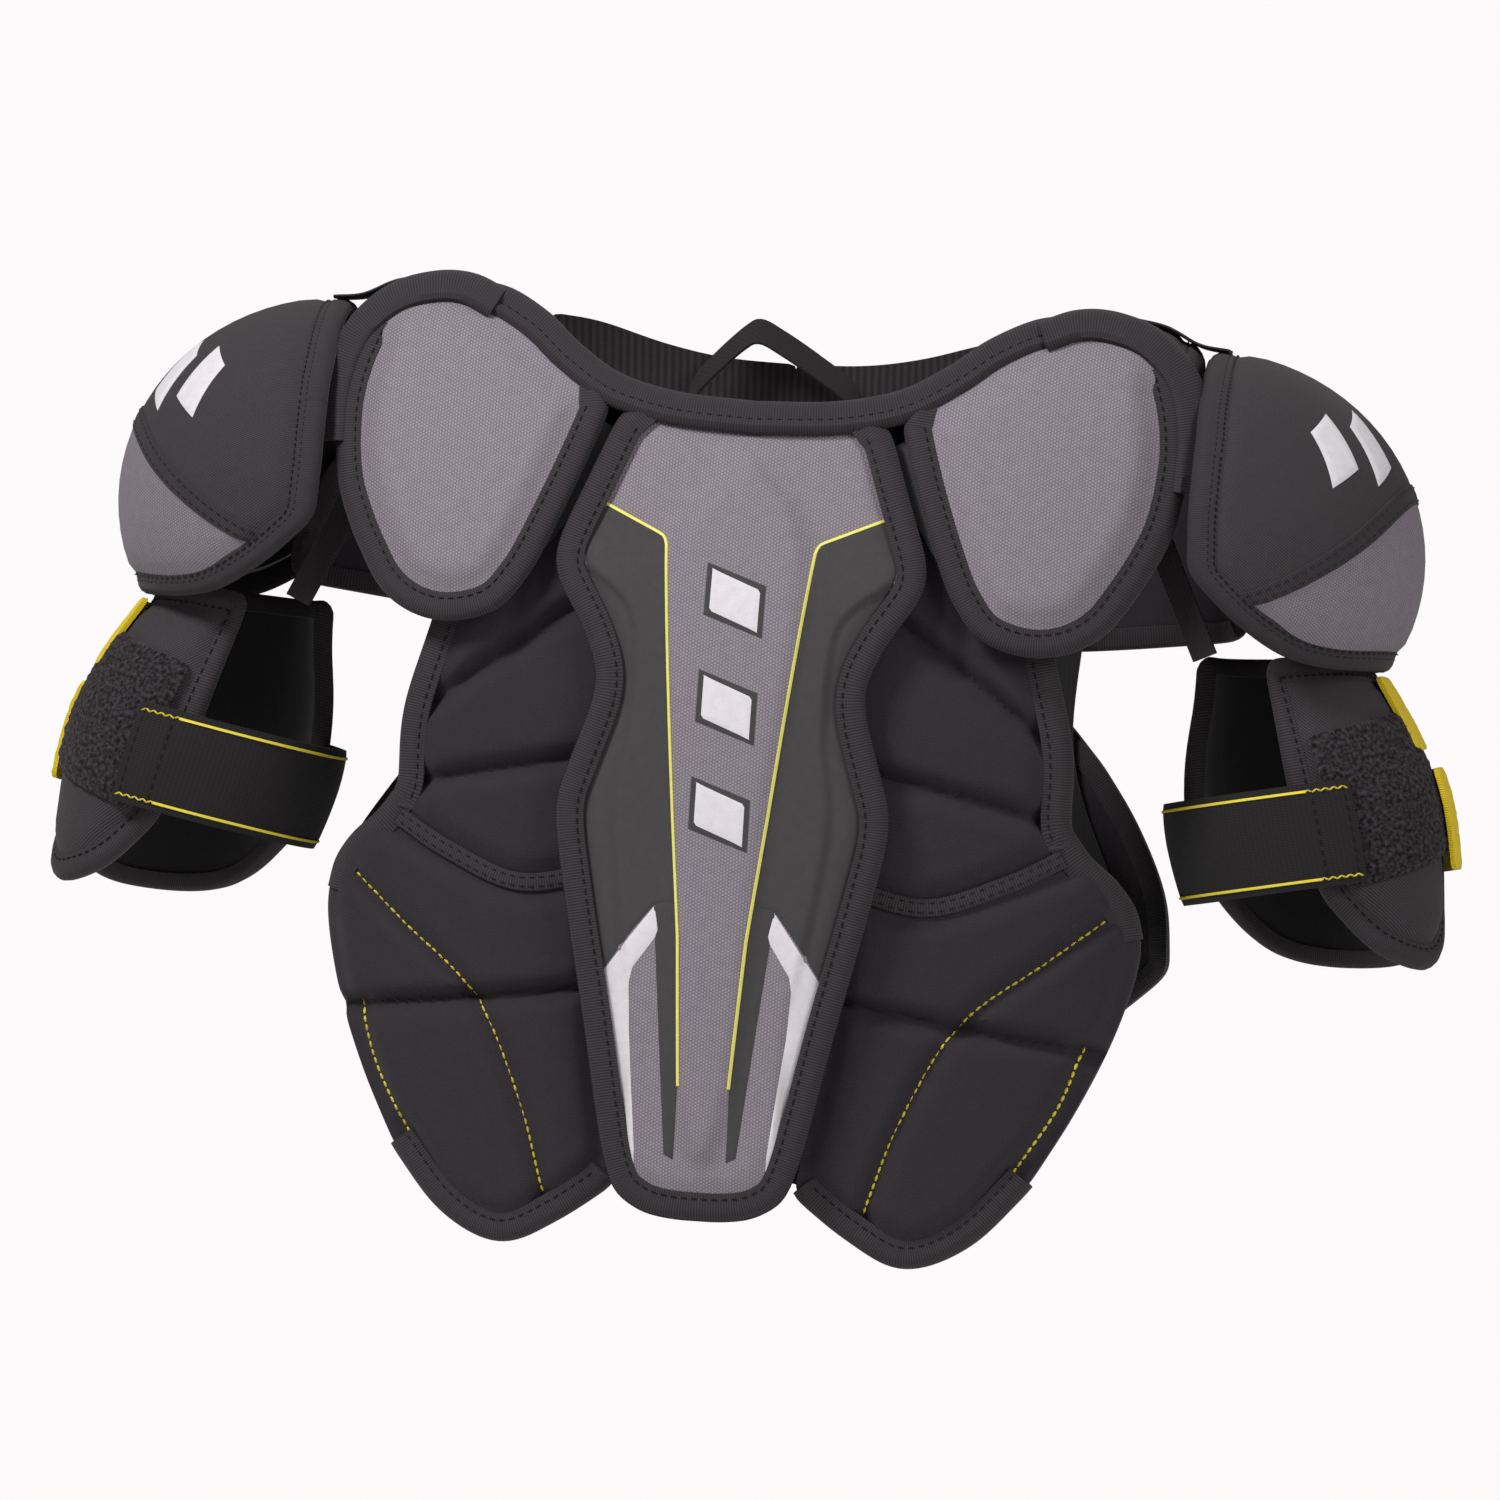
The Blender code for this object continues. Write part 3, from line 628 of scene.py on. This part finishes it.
COLLAR_LIFT, COLLAR_RADIUS = 25.5, 5.5
NECK_FRONT = [(0, 2.5), (32, 4.5), (58, 11), (77, 22.5), (91, 34), (106, 42.5), (117, 45)]
NECK_REAR = [(0, 29), (28, 30), (52, 34), (78, 41), (96, 43)]
FACING = [(-4, -7), (2, -8), (11, -14), (15, -18), (15, -20), (7, -16), (-4, -9)]
REAR_COLLAR_LIFT, REAR_COLLAR_THICK, REAR_COLLAR_HEIGHT = 9, 5, 30
LOOP_PATH = [(-42, 52, 6), (-39, 51, 17), (-31, 50, 27), (-20, 50, 38), (-14, 50, 41),
             (-5, 50, 37), (10, 51, 28), (24, 52, 18), (31, 53, 6)]


def collar_rib_weave(u, v):
    return u.wave(3.0) * 0.4 + v.wave(0.8) * 0.1 + 0.5


def webbing_weave(u, v):
    return u.wave(1.4) * v.wave(1.0) * 0.35 + (u + v).wave(2.2) * 0.15 + 0.5


def round_bar(lift, across_, up, count=14):
    """Section of a rolled tape, flattened, with a shallow seam groove on its face."""
    section = []
    for i in range(count):
        aside, out = math.sin(2 * math.pi * i / count), math.cos(2 * math.pi * i / count)
        section.append((across_ * aside, lift + up * out * (0.7 if abs(aside) < 0.3 else 1)))
    return section


collar_tape = cloth("collar_tape", (34, 30, 33), (58, 53, 57), rib_weave, bump=0.2)
ribbed_knit = cloth("ribbed_knit", (34, 30, 33), (66, 60, 64), collar_rib_weave, bump=0.4)
webbing = cloth("black_webbing", (20, 18, 19), (44, 40, 42), webbing_weave, bump=0.5)

half = curve_through(NECK_FRONT, 50)
neck = np.vstack([(half * (-1, 1))[:0:-1], half])
place = on_torso(COLLAR_LIFT)
rolls = swept("collar_front_roll", neck, round_bar(0, COLLAR_RADIUS + 1.5, COLLAR_RADIUS), place, 1,
              closed=False)
fit(rolls, "root", collar_tape, "ribbed_knit")
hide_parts("collar_front")
seam = stitches("collar_front_stitches", [neck - (0, 0.4)], place, 1, lift=COLLAR_RADIUS - 1.5)
fit(seam, "root", black_thread, "ribbed_knit")
facing = swept("neck_facing", neck, FACING, place, 1, closed=False)
fit(facing, "root", collar_tape, "ribbed_knit")

low = [(x, z - REAR_COLLAR_HEIGHT) for x, z in NECK_REAR]
rear_outline = (NECK_REAR, [NECK_REAR[-1], (104, 34), (103, 22), low[-1]], low, [NECK_REAR[0], low[0]])
for word, side in SIDES:
    place = on_torso(REAR_COLLAR_LIFT, back=True)
    cut = Cut(rear_outline, rounding=1)
    obj = pad("collar_rear_knit_" + word, cut, place, REAR_COLLAR_THICK,
              lambda flat, edge: 0.8 * smooth(edge / 4) - 0.8, side)
    fit(obj, "root", ribbed_knit, "ribbed_knit")
    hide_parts("collar_rear_" + word)


def ribbon(name, path, width, thick, material, slot, body, side=1, wide=(0, 1, 0)):
    """Flat webbing along a path in space, width across it in the direction wide."""
    length = np.linalg.norm(np.diff(np.array(path, float), axis=0), axis=1).sum()
    line = curve_through(path, max(int(length / 2), 4))
    run = np.concatenate([[0], np.cumsum(np.linalg.norm(np.diff(line, axis=0), axis=1))])
    wide = np.array(wide, float)
    ahead = np.gradient(line, axis=0)
    out = np.cross(ahead, wide)
    out /= np.linalg.norm(out, axis=1)[:, None]
    bulge = [(-0.5, 0), (-0.47, 0.5), (0, 0.5), (0.47, 0.5),
             (0.5, 0), (0.47, -0.5), (0, -0.5), (-0.47, -0.5)]
    points = [line + wide * width * a + out * thick * b for a, b in bulge]
    flat = [np.stack([run, np.full(len(run), width * a)], axis=1) for a, b in bulge]
    n, k = len(line), len(bulge)
    faces = [(j * n + i, j * n + i + 1, (j + 1) % k * n + i + 1, (j + 1) % k * n + i)
             for j in range(k) for i in range(n - 1)]
    faces += [tuple(j * n for j in range(k)), tuple(j * n + n - 1 for j in range(k))]
    obj = build(name, np.vstack(points), faces, np.vstack(flat), side)
    fit(obj, body, material, slot)
    return obj


loop = ribbon("hang_loop_webbing", LOOP_PATH, 12, 1.4, webbing, "black_webbing", "root",
              wide=(0, 0.5, 0.87))
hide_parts("hang_loop")


# ---- shoulder yokes
# A padded twill arch over each shoulder joins the front to the back. Its neck and cap edges are rolled,
# and a short webbing strap on top carries the shoulder cap.

YOKE_LIFT, YOKE_THICK = 12, 8.4
YOKE_X = (126, 168)
YOKE_ANGLE = (62, 118)
ARC = 3.2                                 # millimetres along the arch for each degree


def on_yoke(flat, lift):
    """Flat points are millimetres along the arch from its crest, and x."""
    angle = np.radians(90 + flat[:, 0] / ARC)
    x = flat[:, 1]
    out = YOKE_LIFT + lift
    y = -(HALF_DEPTH + out) * across(x, x * 0, out) * np.cos(angle)
    return np.stack([x, y, FULLEST_Z + (rise(x, False) + out) * np.sin(angle)], axis=1)


def twill_weave(u, v):
    return (u + v).wave(1.5) * 0.35 + (u - v).wave(0.9) * 0.15 + 0.5


charcoal_twill = cloth("charcoal_twill", (24, 21, 23), (70, 65, 69), twill_weave, bump=0.5)

span = (YOKE_ANGLE[1] - 90) * ARC
near, far = YOKE_X
yoke_outline = ([(-span, far), (0, far), (span, far)], [(span, far), (span, near)],
                [(-span, near), (0, near), (span, near)], [(-span, far), (-span, near)])
YOKE_ROLL = [(109, 42.5), (122, 48), (136, 48), (152, 42), (165, 28), (171, 6), (171, -16)]

for word, side in SIDES:
    cut = Cut(yoke_outline, rounding=5)
    obj = pad("yoke_foam_" + word, cut, on_yoke, YOKE_THICK,
              face_height(sunk=2, crown=0.8, band=7, roll=6), side)
    fit(obj, "root", charcoal_twill, "charcoal_twill")
    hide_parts("shoulder_yoke_" + word)
    bound("yoke_" + word, cut, on_yoke, YOKE_THICK, 2, "root", side, width=7.5, rows=(2.4,))
    roll = swept("yoke_roll_" + word, curve_through(YOKE_ROLL, 60), round_bar(0, 6.8, 5.4),
                 on_torso(27.5), side, closed=False)
    fit(roll, "root", collar_tape, "charcoal_twill")
    top = [(x, 0, FULLEST_Z + float(rise(np.array(x), False)) + YOKE_LIFT + 0.9) for x in (142, 155, 168)]
    strap = ribbon("cap_strap_webbing_" + word, top + [(180, 0, 42.6)], 24, 1.4,
                   webbing, "black_webbing", "root", side)
    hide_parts("cap_strap_" + word)


# ---- shoulder caps
# Twill over a moulded cup, with a mesh panel below a slanting taped seam, a soft lining inside, and a
# fat binding with two rows of stitches. The cap hangs by webbing riveted to the cup.

CAP_CENTRE = (174, 0, -40)
CAP_RADII = (88, 75, 82)
CAP_SCALE = 82                            # millimetres on the flat cut for each radian from the cap's point


def on_cap(grow):
    """Flat points lie round the cap's outermost point: forward at -x and up at +y."""
    def place(flat, lift):
        away = np.linalg.norm(flat, axis=1)
        t = away / CAP_SCALE
        unit = flat / (away[:, None] + 1e-9)
        out = grow + lift
        return np.stack([CAP_CENTRE[0] + (CAP_RADII[0] + out) * np.cos(t),
                         (CAP_RADII[1] + out) * np.sin(t) * unit[:, 0],
                         CAP_CENTRE[2] + (CAP_RADII[2] + out) * np.sin(t) * unit[:, 1]], axis=1)
    return place


def cap_flat(turn, climb):
    t, c = math.radians(turn), math.radians(climb)
    away = math.acos(math.cos(c) * math.cos(t))
    share = CAP_SCALE * away / max(math.hypot(math.cos(c) * math.sin(t), math.sin(c)), 1e-6)
    return (math.cos(c) * math.sin(t) * share, math.sin(c) * share)


def cap_outline(margin=0):
    """Round the opening over the top, and below along the cap's swept lower edge."""
    arc = CAP_SCALE * math.pi / 2 - margin

    def round_opening(first, last, count):
        angles = [math.radians(first + (last - first) * i / count) for i in range(count + 1)]
        return [(arc * math.cos(a), arc * math.sin(a)) for a in angles]
    low = []
    for turn in (-90, -78, -62, -45, -22, 0, 22, 45, 62, 78, 90):
        climb = -30 + 25 * max(abs(turn) / 45 - 1, 0) ** 2
        x, y = cap_flat(turn * (1 - margin / 130), climb)
        low.append((x, y + margin))
    return (round_opening(150, 30, 10), [*round_opening(30, 0, 4)[:-1], low[-1]], low,
            [*round_opening(150, 180, 4)[:-1], low[0]])


def seam_line():
    """The slanting seam, from the lower front corner over the outside to the lower rear corner."""
    return [(-106, -24), (-70, 4), (-34, 25), (0, 31), (34, 25), (70, 4), (106, -24)]


def line_height(line, points):
    order = curve_through(line, 120)
    return np.interp(points[:, 0], order[:, 0], order[:, 1])


def second_cloth(obj, material, chosen):
    """Gives the faces whose flat middle is chosen(points) another cloth."""
    obj.data.materials.append(material)
    uv = obj.data.uv_layers["weave"].data
    middles = np.array([np.mean([uv[i].uv[:] for i in face.loop_indices], axis=0)
                        for face in obj.data.polygons])
    flags = chosen(middles * 1000)
    for face, flag in zip(obj.data.polygons, flags):
        if flag:
            face.material_index = 1


cap_mesh = cloth("cap_mesh", (98, 90, 98), (146, 137, 145), mesh_weave, bump=0.35)
steel = bpy.data.materials.new("steel")
steel.use_nodes = True
steel.node_tree.nodes["Principled BSDF"].inputs["Base Color"].default_value = linear((196, 196, 200))
steel.node_tree.nodes["Principled BSDF"].inputs["Metallic"].default_value = 1.0
steel.node_tree.nodes["Principled BSDF"].inputs["Roughness"].default_value = 0.28

for word, side in SIDES:
    body = "cap_" + word
    cut = Cut(cap_outline(), spacing=3, rounding=10)
    place = on_cap(0)
    height = face_height(sunk=1.6, crown=0.8, roll=7)
    obj = pad("cap_cloth_" + word, cut, place, 4, height, side)
    fit(obj, body, charcoal_twill, "charcoal_twill")
    second_cloth(obj, cap_mesh, lambda points: points[:, 1] < line_height(seam_line(), points))
    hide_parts("cap_cover_" + word)
    bound("cap_" + word, cut, place, 4, 1.6, body, side, width=10.5, rows=(2.2, 4.6))
    over = padded_face(place, cut, height)
    line = curve_through(seam_line(), 120)
    tape = swept("cap_seam_tape_" + word, line,
                 [(-4.2, -0.2), (-3.9, 0.6), (0, 0.8), (3.9, 0.6), (4.2, -0.2), (0, -0.6)],
                 over, side, closed=False)
    fit(tape, body, binding_tape, "charcoal_twill")
    rows = [line + (0, 2.6), line - (0, 2.6)]
    seam = stitches("cap_seam_stitches_" + word, rows, over, side, lift=0.7)
    fit(seam, body, black_thread, "charcoal_twill")
    for i, z in enumerate((-36, -62)):
        bar = ([(z, 62), (z + 9, 66), (z + 18, 70)], [(z + 18, 70), (z + 12, 42)],
               [(z - 6, 34), (z + 3, 38), (z + 12, 42)], [(z, 62), (z - 6, 34)])
        inlay(f"cap_bar_{i}_{word}", bar, over, body, silver_print, "charcoal_twill", side)
    lining = Cut(cap_outline(5), spacing=4, rounding=10)
    soft = pad("cap_lining_" + word, lining, on_cap(-11), 4.5,
               face_height(sunk=0, crown=-0.2, roll=5), side)
    fit(soft, body, brushed_lining, "brushed_lining")
    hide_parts("cap_liner_" + word)
    hanger = ribbon("cap_hanger_webbing_" + word, [(208, 0, 10), (209, 0, -20), (208, 0, -60)], 20, 1.6,
                    webbing, "black_webbing", body, side)
    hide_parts("cap_hanger_" + word)
    for y in (-52, -47):
        ribbon(f"yoke_tail_{-y}_{word}", [(157, y, -28), (166, y, -48), (181, y, -80)], 10, 1.4,
               webbing, "black_webbing", "root", side, wide=(0.9, 0, 0.42))
    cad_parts["cap_insert_" + word].data.materials[0] = moulded_insert
    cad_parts["cap_rivet_" + word].data.materials[0] = steel


# ---- arm guards
# Two padded wings wrap the upper arm, twill outside and brushed lining inside, bound and stitched. A
# webbing strap edged in yellow goes round the arm and its yellow hook tab shuts on the loop-pile patch.

ARM_RADIUS = [(-200, 42), (-180, 46), (-150, 51), (-125, 49), (-98, 40), (-76, 31)]
ARM_LEAN, ARM_TILT = 0.26, 0.2
TURN = 0.8                                # millimetres on the flat cut for each degree round the arm


def arm_radius(z):
    levels = np.array([level for level, _ in ARM_RADIUS], float)
    radii = np.array([radius for _, radius in ARM_RADIUS], float)
    return sum(np.interp(z + step, levels, radii) for step in (-18, -12, -6, 0, 6, 12, 18)) / 7


def on_arm(grow):
    """Flat points are millimetres round the guard from its outside, and height."""
    def place(flat, lift):
        turn, z = np.radians(flat[:, 0] / TURN), flat[:, 1]
        radius = arm_radius(z) + grow + lift
        out = radius * np.cos(turn)
        x = 212 + ARM_LEAN * (-98 - z) + out
        return np.stack([x, radius * np.sin(turn), z + ARM_TILT * out], axis=1)
    return place


def turned(outline):
    return tuple([(turn * TURN, z) for turn, z in edge] for edge in outline)


WING_THICK = 7
FRONT_WING = turned(([(-96, -80), (-50, -82), (6, -86)], [(6, -86), (6, -130), (6, -190)],
                     [(-86, -172), (-62, -194), (-24, -203), (6, -190)],
                     [(-96, -80), (-93, -110), (-91, -145), (-86, -172)]))
REAR_WING = turned(([(12, -86), (90, -80), (172, -75)], [(172, -75), (174, -115), (170, -152)],
                    [(12, -190), (60, -200), (128, -189), (170, -152)],
                    [(12, -86), (12, -130), (12, -190)]))
LOOP_PATCH = turned(([(-80, -110), (-45, -107), (-6, -104)], [(-6, -104), (-6, -132), (-6, -160)],
                     [(-74, -170), (-40, -166), (-6, -160)], [(-80, -110), (-77, -140), (-74, -170)]))
TAB_START = {"left": -14, "right": 6}      # free end of each hook tab, in degrees round the guard
HANGER_TAB = turned(([(-20, -90), (8, -92), (34, -93)], [(34, -93), (34, -119)],
                     [(-20, -121), (8, -120), (34, -119)], [(-20, -90), (-20, -121)]))


def band(first, last, top=-128, low=-168):
    middle = (first + last) / 2
    return turned(([(first, top), (middle, top), (last, top)], [(last, top), (last, low)],
                   [(first, low), (middle, low), (last, low)], [(first, top), (first, low)]))


def pile_weave(u, v):
    """Loops stand at random, so the fuzz has no rows."""
    return u * 0 + 0.4


def strap_weave(u, v):
    return v.wave(1.0) * 0.3 + u.wave(1.6) * 0.15 + 0.5


loop_pile = cloth("loop_pile", (8, 7, 8), (60, 54, 58), pile_weave, bump=1.0, roughness=1.0, mottle=0.5,
                  grain=3.0, tuft=600.0)
strap_webbing = cloth("strap_webbing", (14, 12, 13), (36, 33, 34), strap_weave, bump=0.3)
yellow_hook = cloth("yellow_hook", (206, 174, 18), (246, 218, 44), plain_weave, bump=0.8)

for word, side in SIDES:
    body = "arm_guard_" + word
    for name, outline, crown in (("bicep_front_wing", FRONT_WING, 0.6), ("bicep_rear_wing", REAR_WING, 0.4)):
        wing_height = face_height(sunk=2, crown=crown, band=8)
        cut = Cut(outline)
        obj = pad(name + "_foam_" + word, cut, on_arm(0), WING_THICK, wing_height, side)
        fit(obj, body, charcoal_twill, "charcoal_twill")
        obj.data.materials.append(brushed_lining)
        for face in list(obj.data.polygons)[1:2 * cut.columns * cut.rows:2]:
            face.material_index = 1
        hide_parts(name + "_" + word)
        bound(name + "_" + word, cut, on_arm(0), WING_THICK, 2, body, side, width=8, rows=(2.2,))
    cut = Cut(LOOP_PATCH, spacing=1.6, rounding=3)
    rough = np.random.default_rng(7).normal(0, 0.22, len(cut.flat))
    pile = pad("loop_patch_pile_" + word, cut, on_arm(2.6), 1.6,
               lambda flat, edge: smooth(edge / 3) + rough, side)
    fit(pile, body, loop_pile, "loop_pile")
    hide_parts("bicep_loop_patch_" + word)
    width, length, area = laid_flat(cut, on_arm(2.6))

    cut = Cut(band(42, 292), rounding=0)
    place = on_arm(6.6)
    strap = pad("strap_" + word, cut, place, 1.6, lambda flat, edge: 0.3 * smooth(edge / 2), side)
    fit(strap, body, strap_webbing, "elastic")
    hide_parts("bicep_strap_" + word)
    width, length, area = laid_flat(cut, place)
    lines = [np.array([(turn * TURN, z) for turn in np.linspace(43, 274, 80)]) for z in (-131, -165)]
    for i, line in enumerate(lines):
        edge = swept(f"strap_yellow_{i}_{word}", line,
                     [(-0.6, 0.1), (-0.4, 0.85), (0.4, 0.85), (0.6, 0.1), (0, -0.3)],
                     place, side, closed=False)
        fit(edge, body, yellow_thread, "elastic")
    sewn = [np.array([(turn * TURN, z) for turn in np.linspace(273, 292, 20)]) for z in (-131, -165)]
    zigzag = stitches("strap_zigzag_" + word, sewn, place, side,
                      pitch=1.4, length=1.8, wide=1.0, lift=0.6, zigzag=0.5)
    fit(zigzag, body, yellow_thread, "elastic")
    bar = [np.array([(turn * TURN, z) for z in np.linspace(-129, -167, 20)]) for turn in (276, 289)]
    fit(stitches("strap_bar_stitches_" + word, bar, place, side, lift=0.4), body, black_thread, "elastic")

    for name, outline, grow, thick, part in (("bicep_hanger_tab", HANGER_TAB, 3.6, 2, body),
                                             ("bicep_tab", band(TAB_START[word], 39), 6.6, 1.8,
                                              "arm_tab_" + word)):
        cut = Cut(outline, spacing=1.8, rounding=4)
        rough = np.random.default_rng(11).normal(0, 0.12, len(cut.flat))
        tab = pad(name + "_hook_" + word, cut, on_arm(grow), thick,
                  lambda flat, edge: 0.4 * smooth(edge / 2) + rough, side)
        fit(tab, part, yellow_hook, "yellow_hook_tape")
        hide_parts(name + "_" + word)
        width, length, area = laid_flat(cut, on_arm(grow))


# ---- back
# Four foam pads over the shoulder blades and ribs and one down the spine, in the chest's knit and
# binding, with a stiff moulded plate on the spine pad. Sewn to the back liner.

SCAPULA = ([(34, 2), (60, 5), (88, 12), (112, 14), (138, 4), (164, -4)],
           [(164, -4), (180, -24), (190, -50), (192, -70)],
           [(34, -78), (70, -80), (120, -78), (192, -70)],
           [(34, 2), (34, -40), (34, -78)])
RIB = ([(34, -84), (70, -88), (108, -102), (133, -126)],
       [(133, -126), (150, -150), (164, -178), (168, -206)],
       [(34, -236), (80, -240), (130, -234), (168, -206)],
       [(34, -84), (34, -160), (34, -236)])
SPINE_PAD = ([(0, 0), (14, 0), (29, -1)],
             [(29, -1), (29, -120), (27, -232)],
             [(0, -240), (14, -239), (27, -232)],
             [(0, 0), (0, -120), (0, -240)])
BACK_CREASES = {"scapula_pad": [([(90, 12), (96, -40), (92, -80)], 3, 5)],
                "rib_pad": [([(34, -160), (90, -164), (150, -168)], 3.5, 5),
                            ([(92, -90), (94, -160), (84, -238)], 2.5, 5)]}

place = on_torso(PAD_LIFT, back=True)
cut = Cut(both_halves(SPINE_PAD))
obj = pad("spine_foam", cut, place, PAD_THICK, face_height(sunk=2.2, crown=0.2))
fit(obj, "root", chest_knit, "chest_fabric")
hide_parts("spine_pad")
bound("spine", cut, place, PAD_THICK, 2.2, "root", 1, rows=(2.6,))
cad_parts["spine_plate"].data.materials[0] = moulded_insert
for word, side in SIDES:
    for name, outline in (("scapula_pad", SCAPULA), ("rib_pad", RIB)):
        cut = Cut(outline)
        obj = pad(name + "_foam_" + word, cut, place, PAD_THICK,
                  face_height(sunk=2.4, crown=0.8, creases=BACK_CREASES[name]), side)
        fit(obj, "root", chest_knit, "chest_fabric")
        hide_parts(name + "_" + word)
        bound(name + "_" + word, cut, place, PAD_THICK, 2.4, "root", side, rows=(2.6,))


# ---- side straps
# Elastic sewn under the rib pad comes round the flank, and its yellow hook tab shuts inside the belly pad.

SIDE_STRAP_Z, SIDE_STRAP_WIDTH = -205, 38

for word, side in SIDES:
    path = [(x, y, SIDE_STRAP_Z) for x, y in ((136, 46), (144, 26), (146, 0), (142.5, -24))]
    strap = ribbon("side_strap_elastic_" + word, path, SIDE_STRAP_WIDTH, 1.8,
                   strap_webbing, "elastic", "root", side, wide=(0, 0, 1))
    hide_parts("side_strap_" + word)
    path = [(x, y, SIDE_STRAP_Z) for x, y in ((141, -28), (134, -40), (125, -50))]
    tab = ribbon("side_tab_hook_" + word, path, SIDE_STRAP_WIDTH - 4, 2, yellow_hook, "yellow_hook_tape",
                 "flank_tab_" + word, side, wide=(0, 0, 1))
    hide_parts("side_tab_" + word)


# ---- setting
# A white studio: the pads hang clear of a pale floor, lit by two large soft boxes and the white room.

floor_mesh = bpy.data.meshes.new("studio_floor")
ring = [(1.2 * math.cos(math.radians(a)), 1.2 * math.sin(math.radians(a)), -0.62) for a in range(0, 360, 5)]
floor_mesh.from_pydata(ring, [], [tuple(range(len(ring)))])
floor = bpy.data.objects.new("studio_floor", floor_mesh)
bpy.context.scene.collection.objects.link(floor)
floor_mesh.materials.append(thread("studio_white", (245, 244, 244)))

world = bpy.data.worlds.new("studio")
world.use_nodes = True
backdrop = world.node_tree.nodes["Background"]
backdrop.inputs["Color"].default_value = linear((252, 250, 250))
seen = Wire(world.node_tree).node("ShaderNodeLightPath", out=0)
world.node_tree.links.new((seen * 0.69 + 0.31).socket, backdrop.inputs["Strength"])
bpy.context.scene.world = world
bpy.context.scene.view_settings.view_transform = "Standard"

for name, place, aim, size, power in (("soft_box_left", (-1.2, -1.4, 1.5), (0, 0, -0.1), 0.6, 47),
                                      ("soft_box_right", (1.6, -1.6, 0.9), (0, 0, -0.1), 1.1, 22)):
    lamp = bpy.data.lights.new(name, "AREA")
    lamp.size = size
    lamp.energy = power
    holder = bpy.data.objects.new(name, lamp)
    bpy.context.scene.collection.objects.link(holder)
    holder.location = place
    holder.rotation_euler = (Vector(aim) - Vector(place)).to_track_quat("-Z", "Y").to_euler()

CAMERA_TURN, CAMERA_ROLL, CAMERA_DISTANCE = math.radians(6), math.radians(3.7), 5.0
centre = Vector((-0.002, 0, -0.128))
lens = bpy.data.cameras.new("camera")
lens.lens = 300
lens.sensor_width = 36
camera = bpy.data.objects.new("camera", lens)
bpy.context.scene.collection.objects.link(camera)
offset = Vector((math.sin(CAMERA_TURN), -math.cos(CAMERA_TURN), 0)) * CAMERA_DISTANCE
camera.location = centre + offset
facing = (-offset).to_track_quat("-Z", "Y").to_matrix()
camera.rotation_euler = (facing @ Matrix.Rotation(CAMERA_ROLL, 3, "Z")).to_euler()
bpy.context.scene.camera = camera
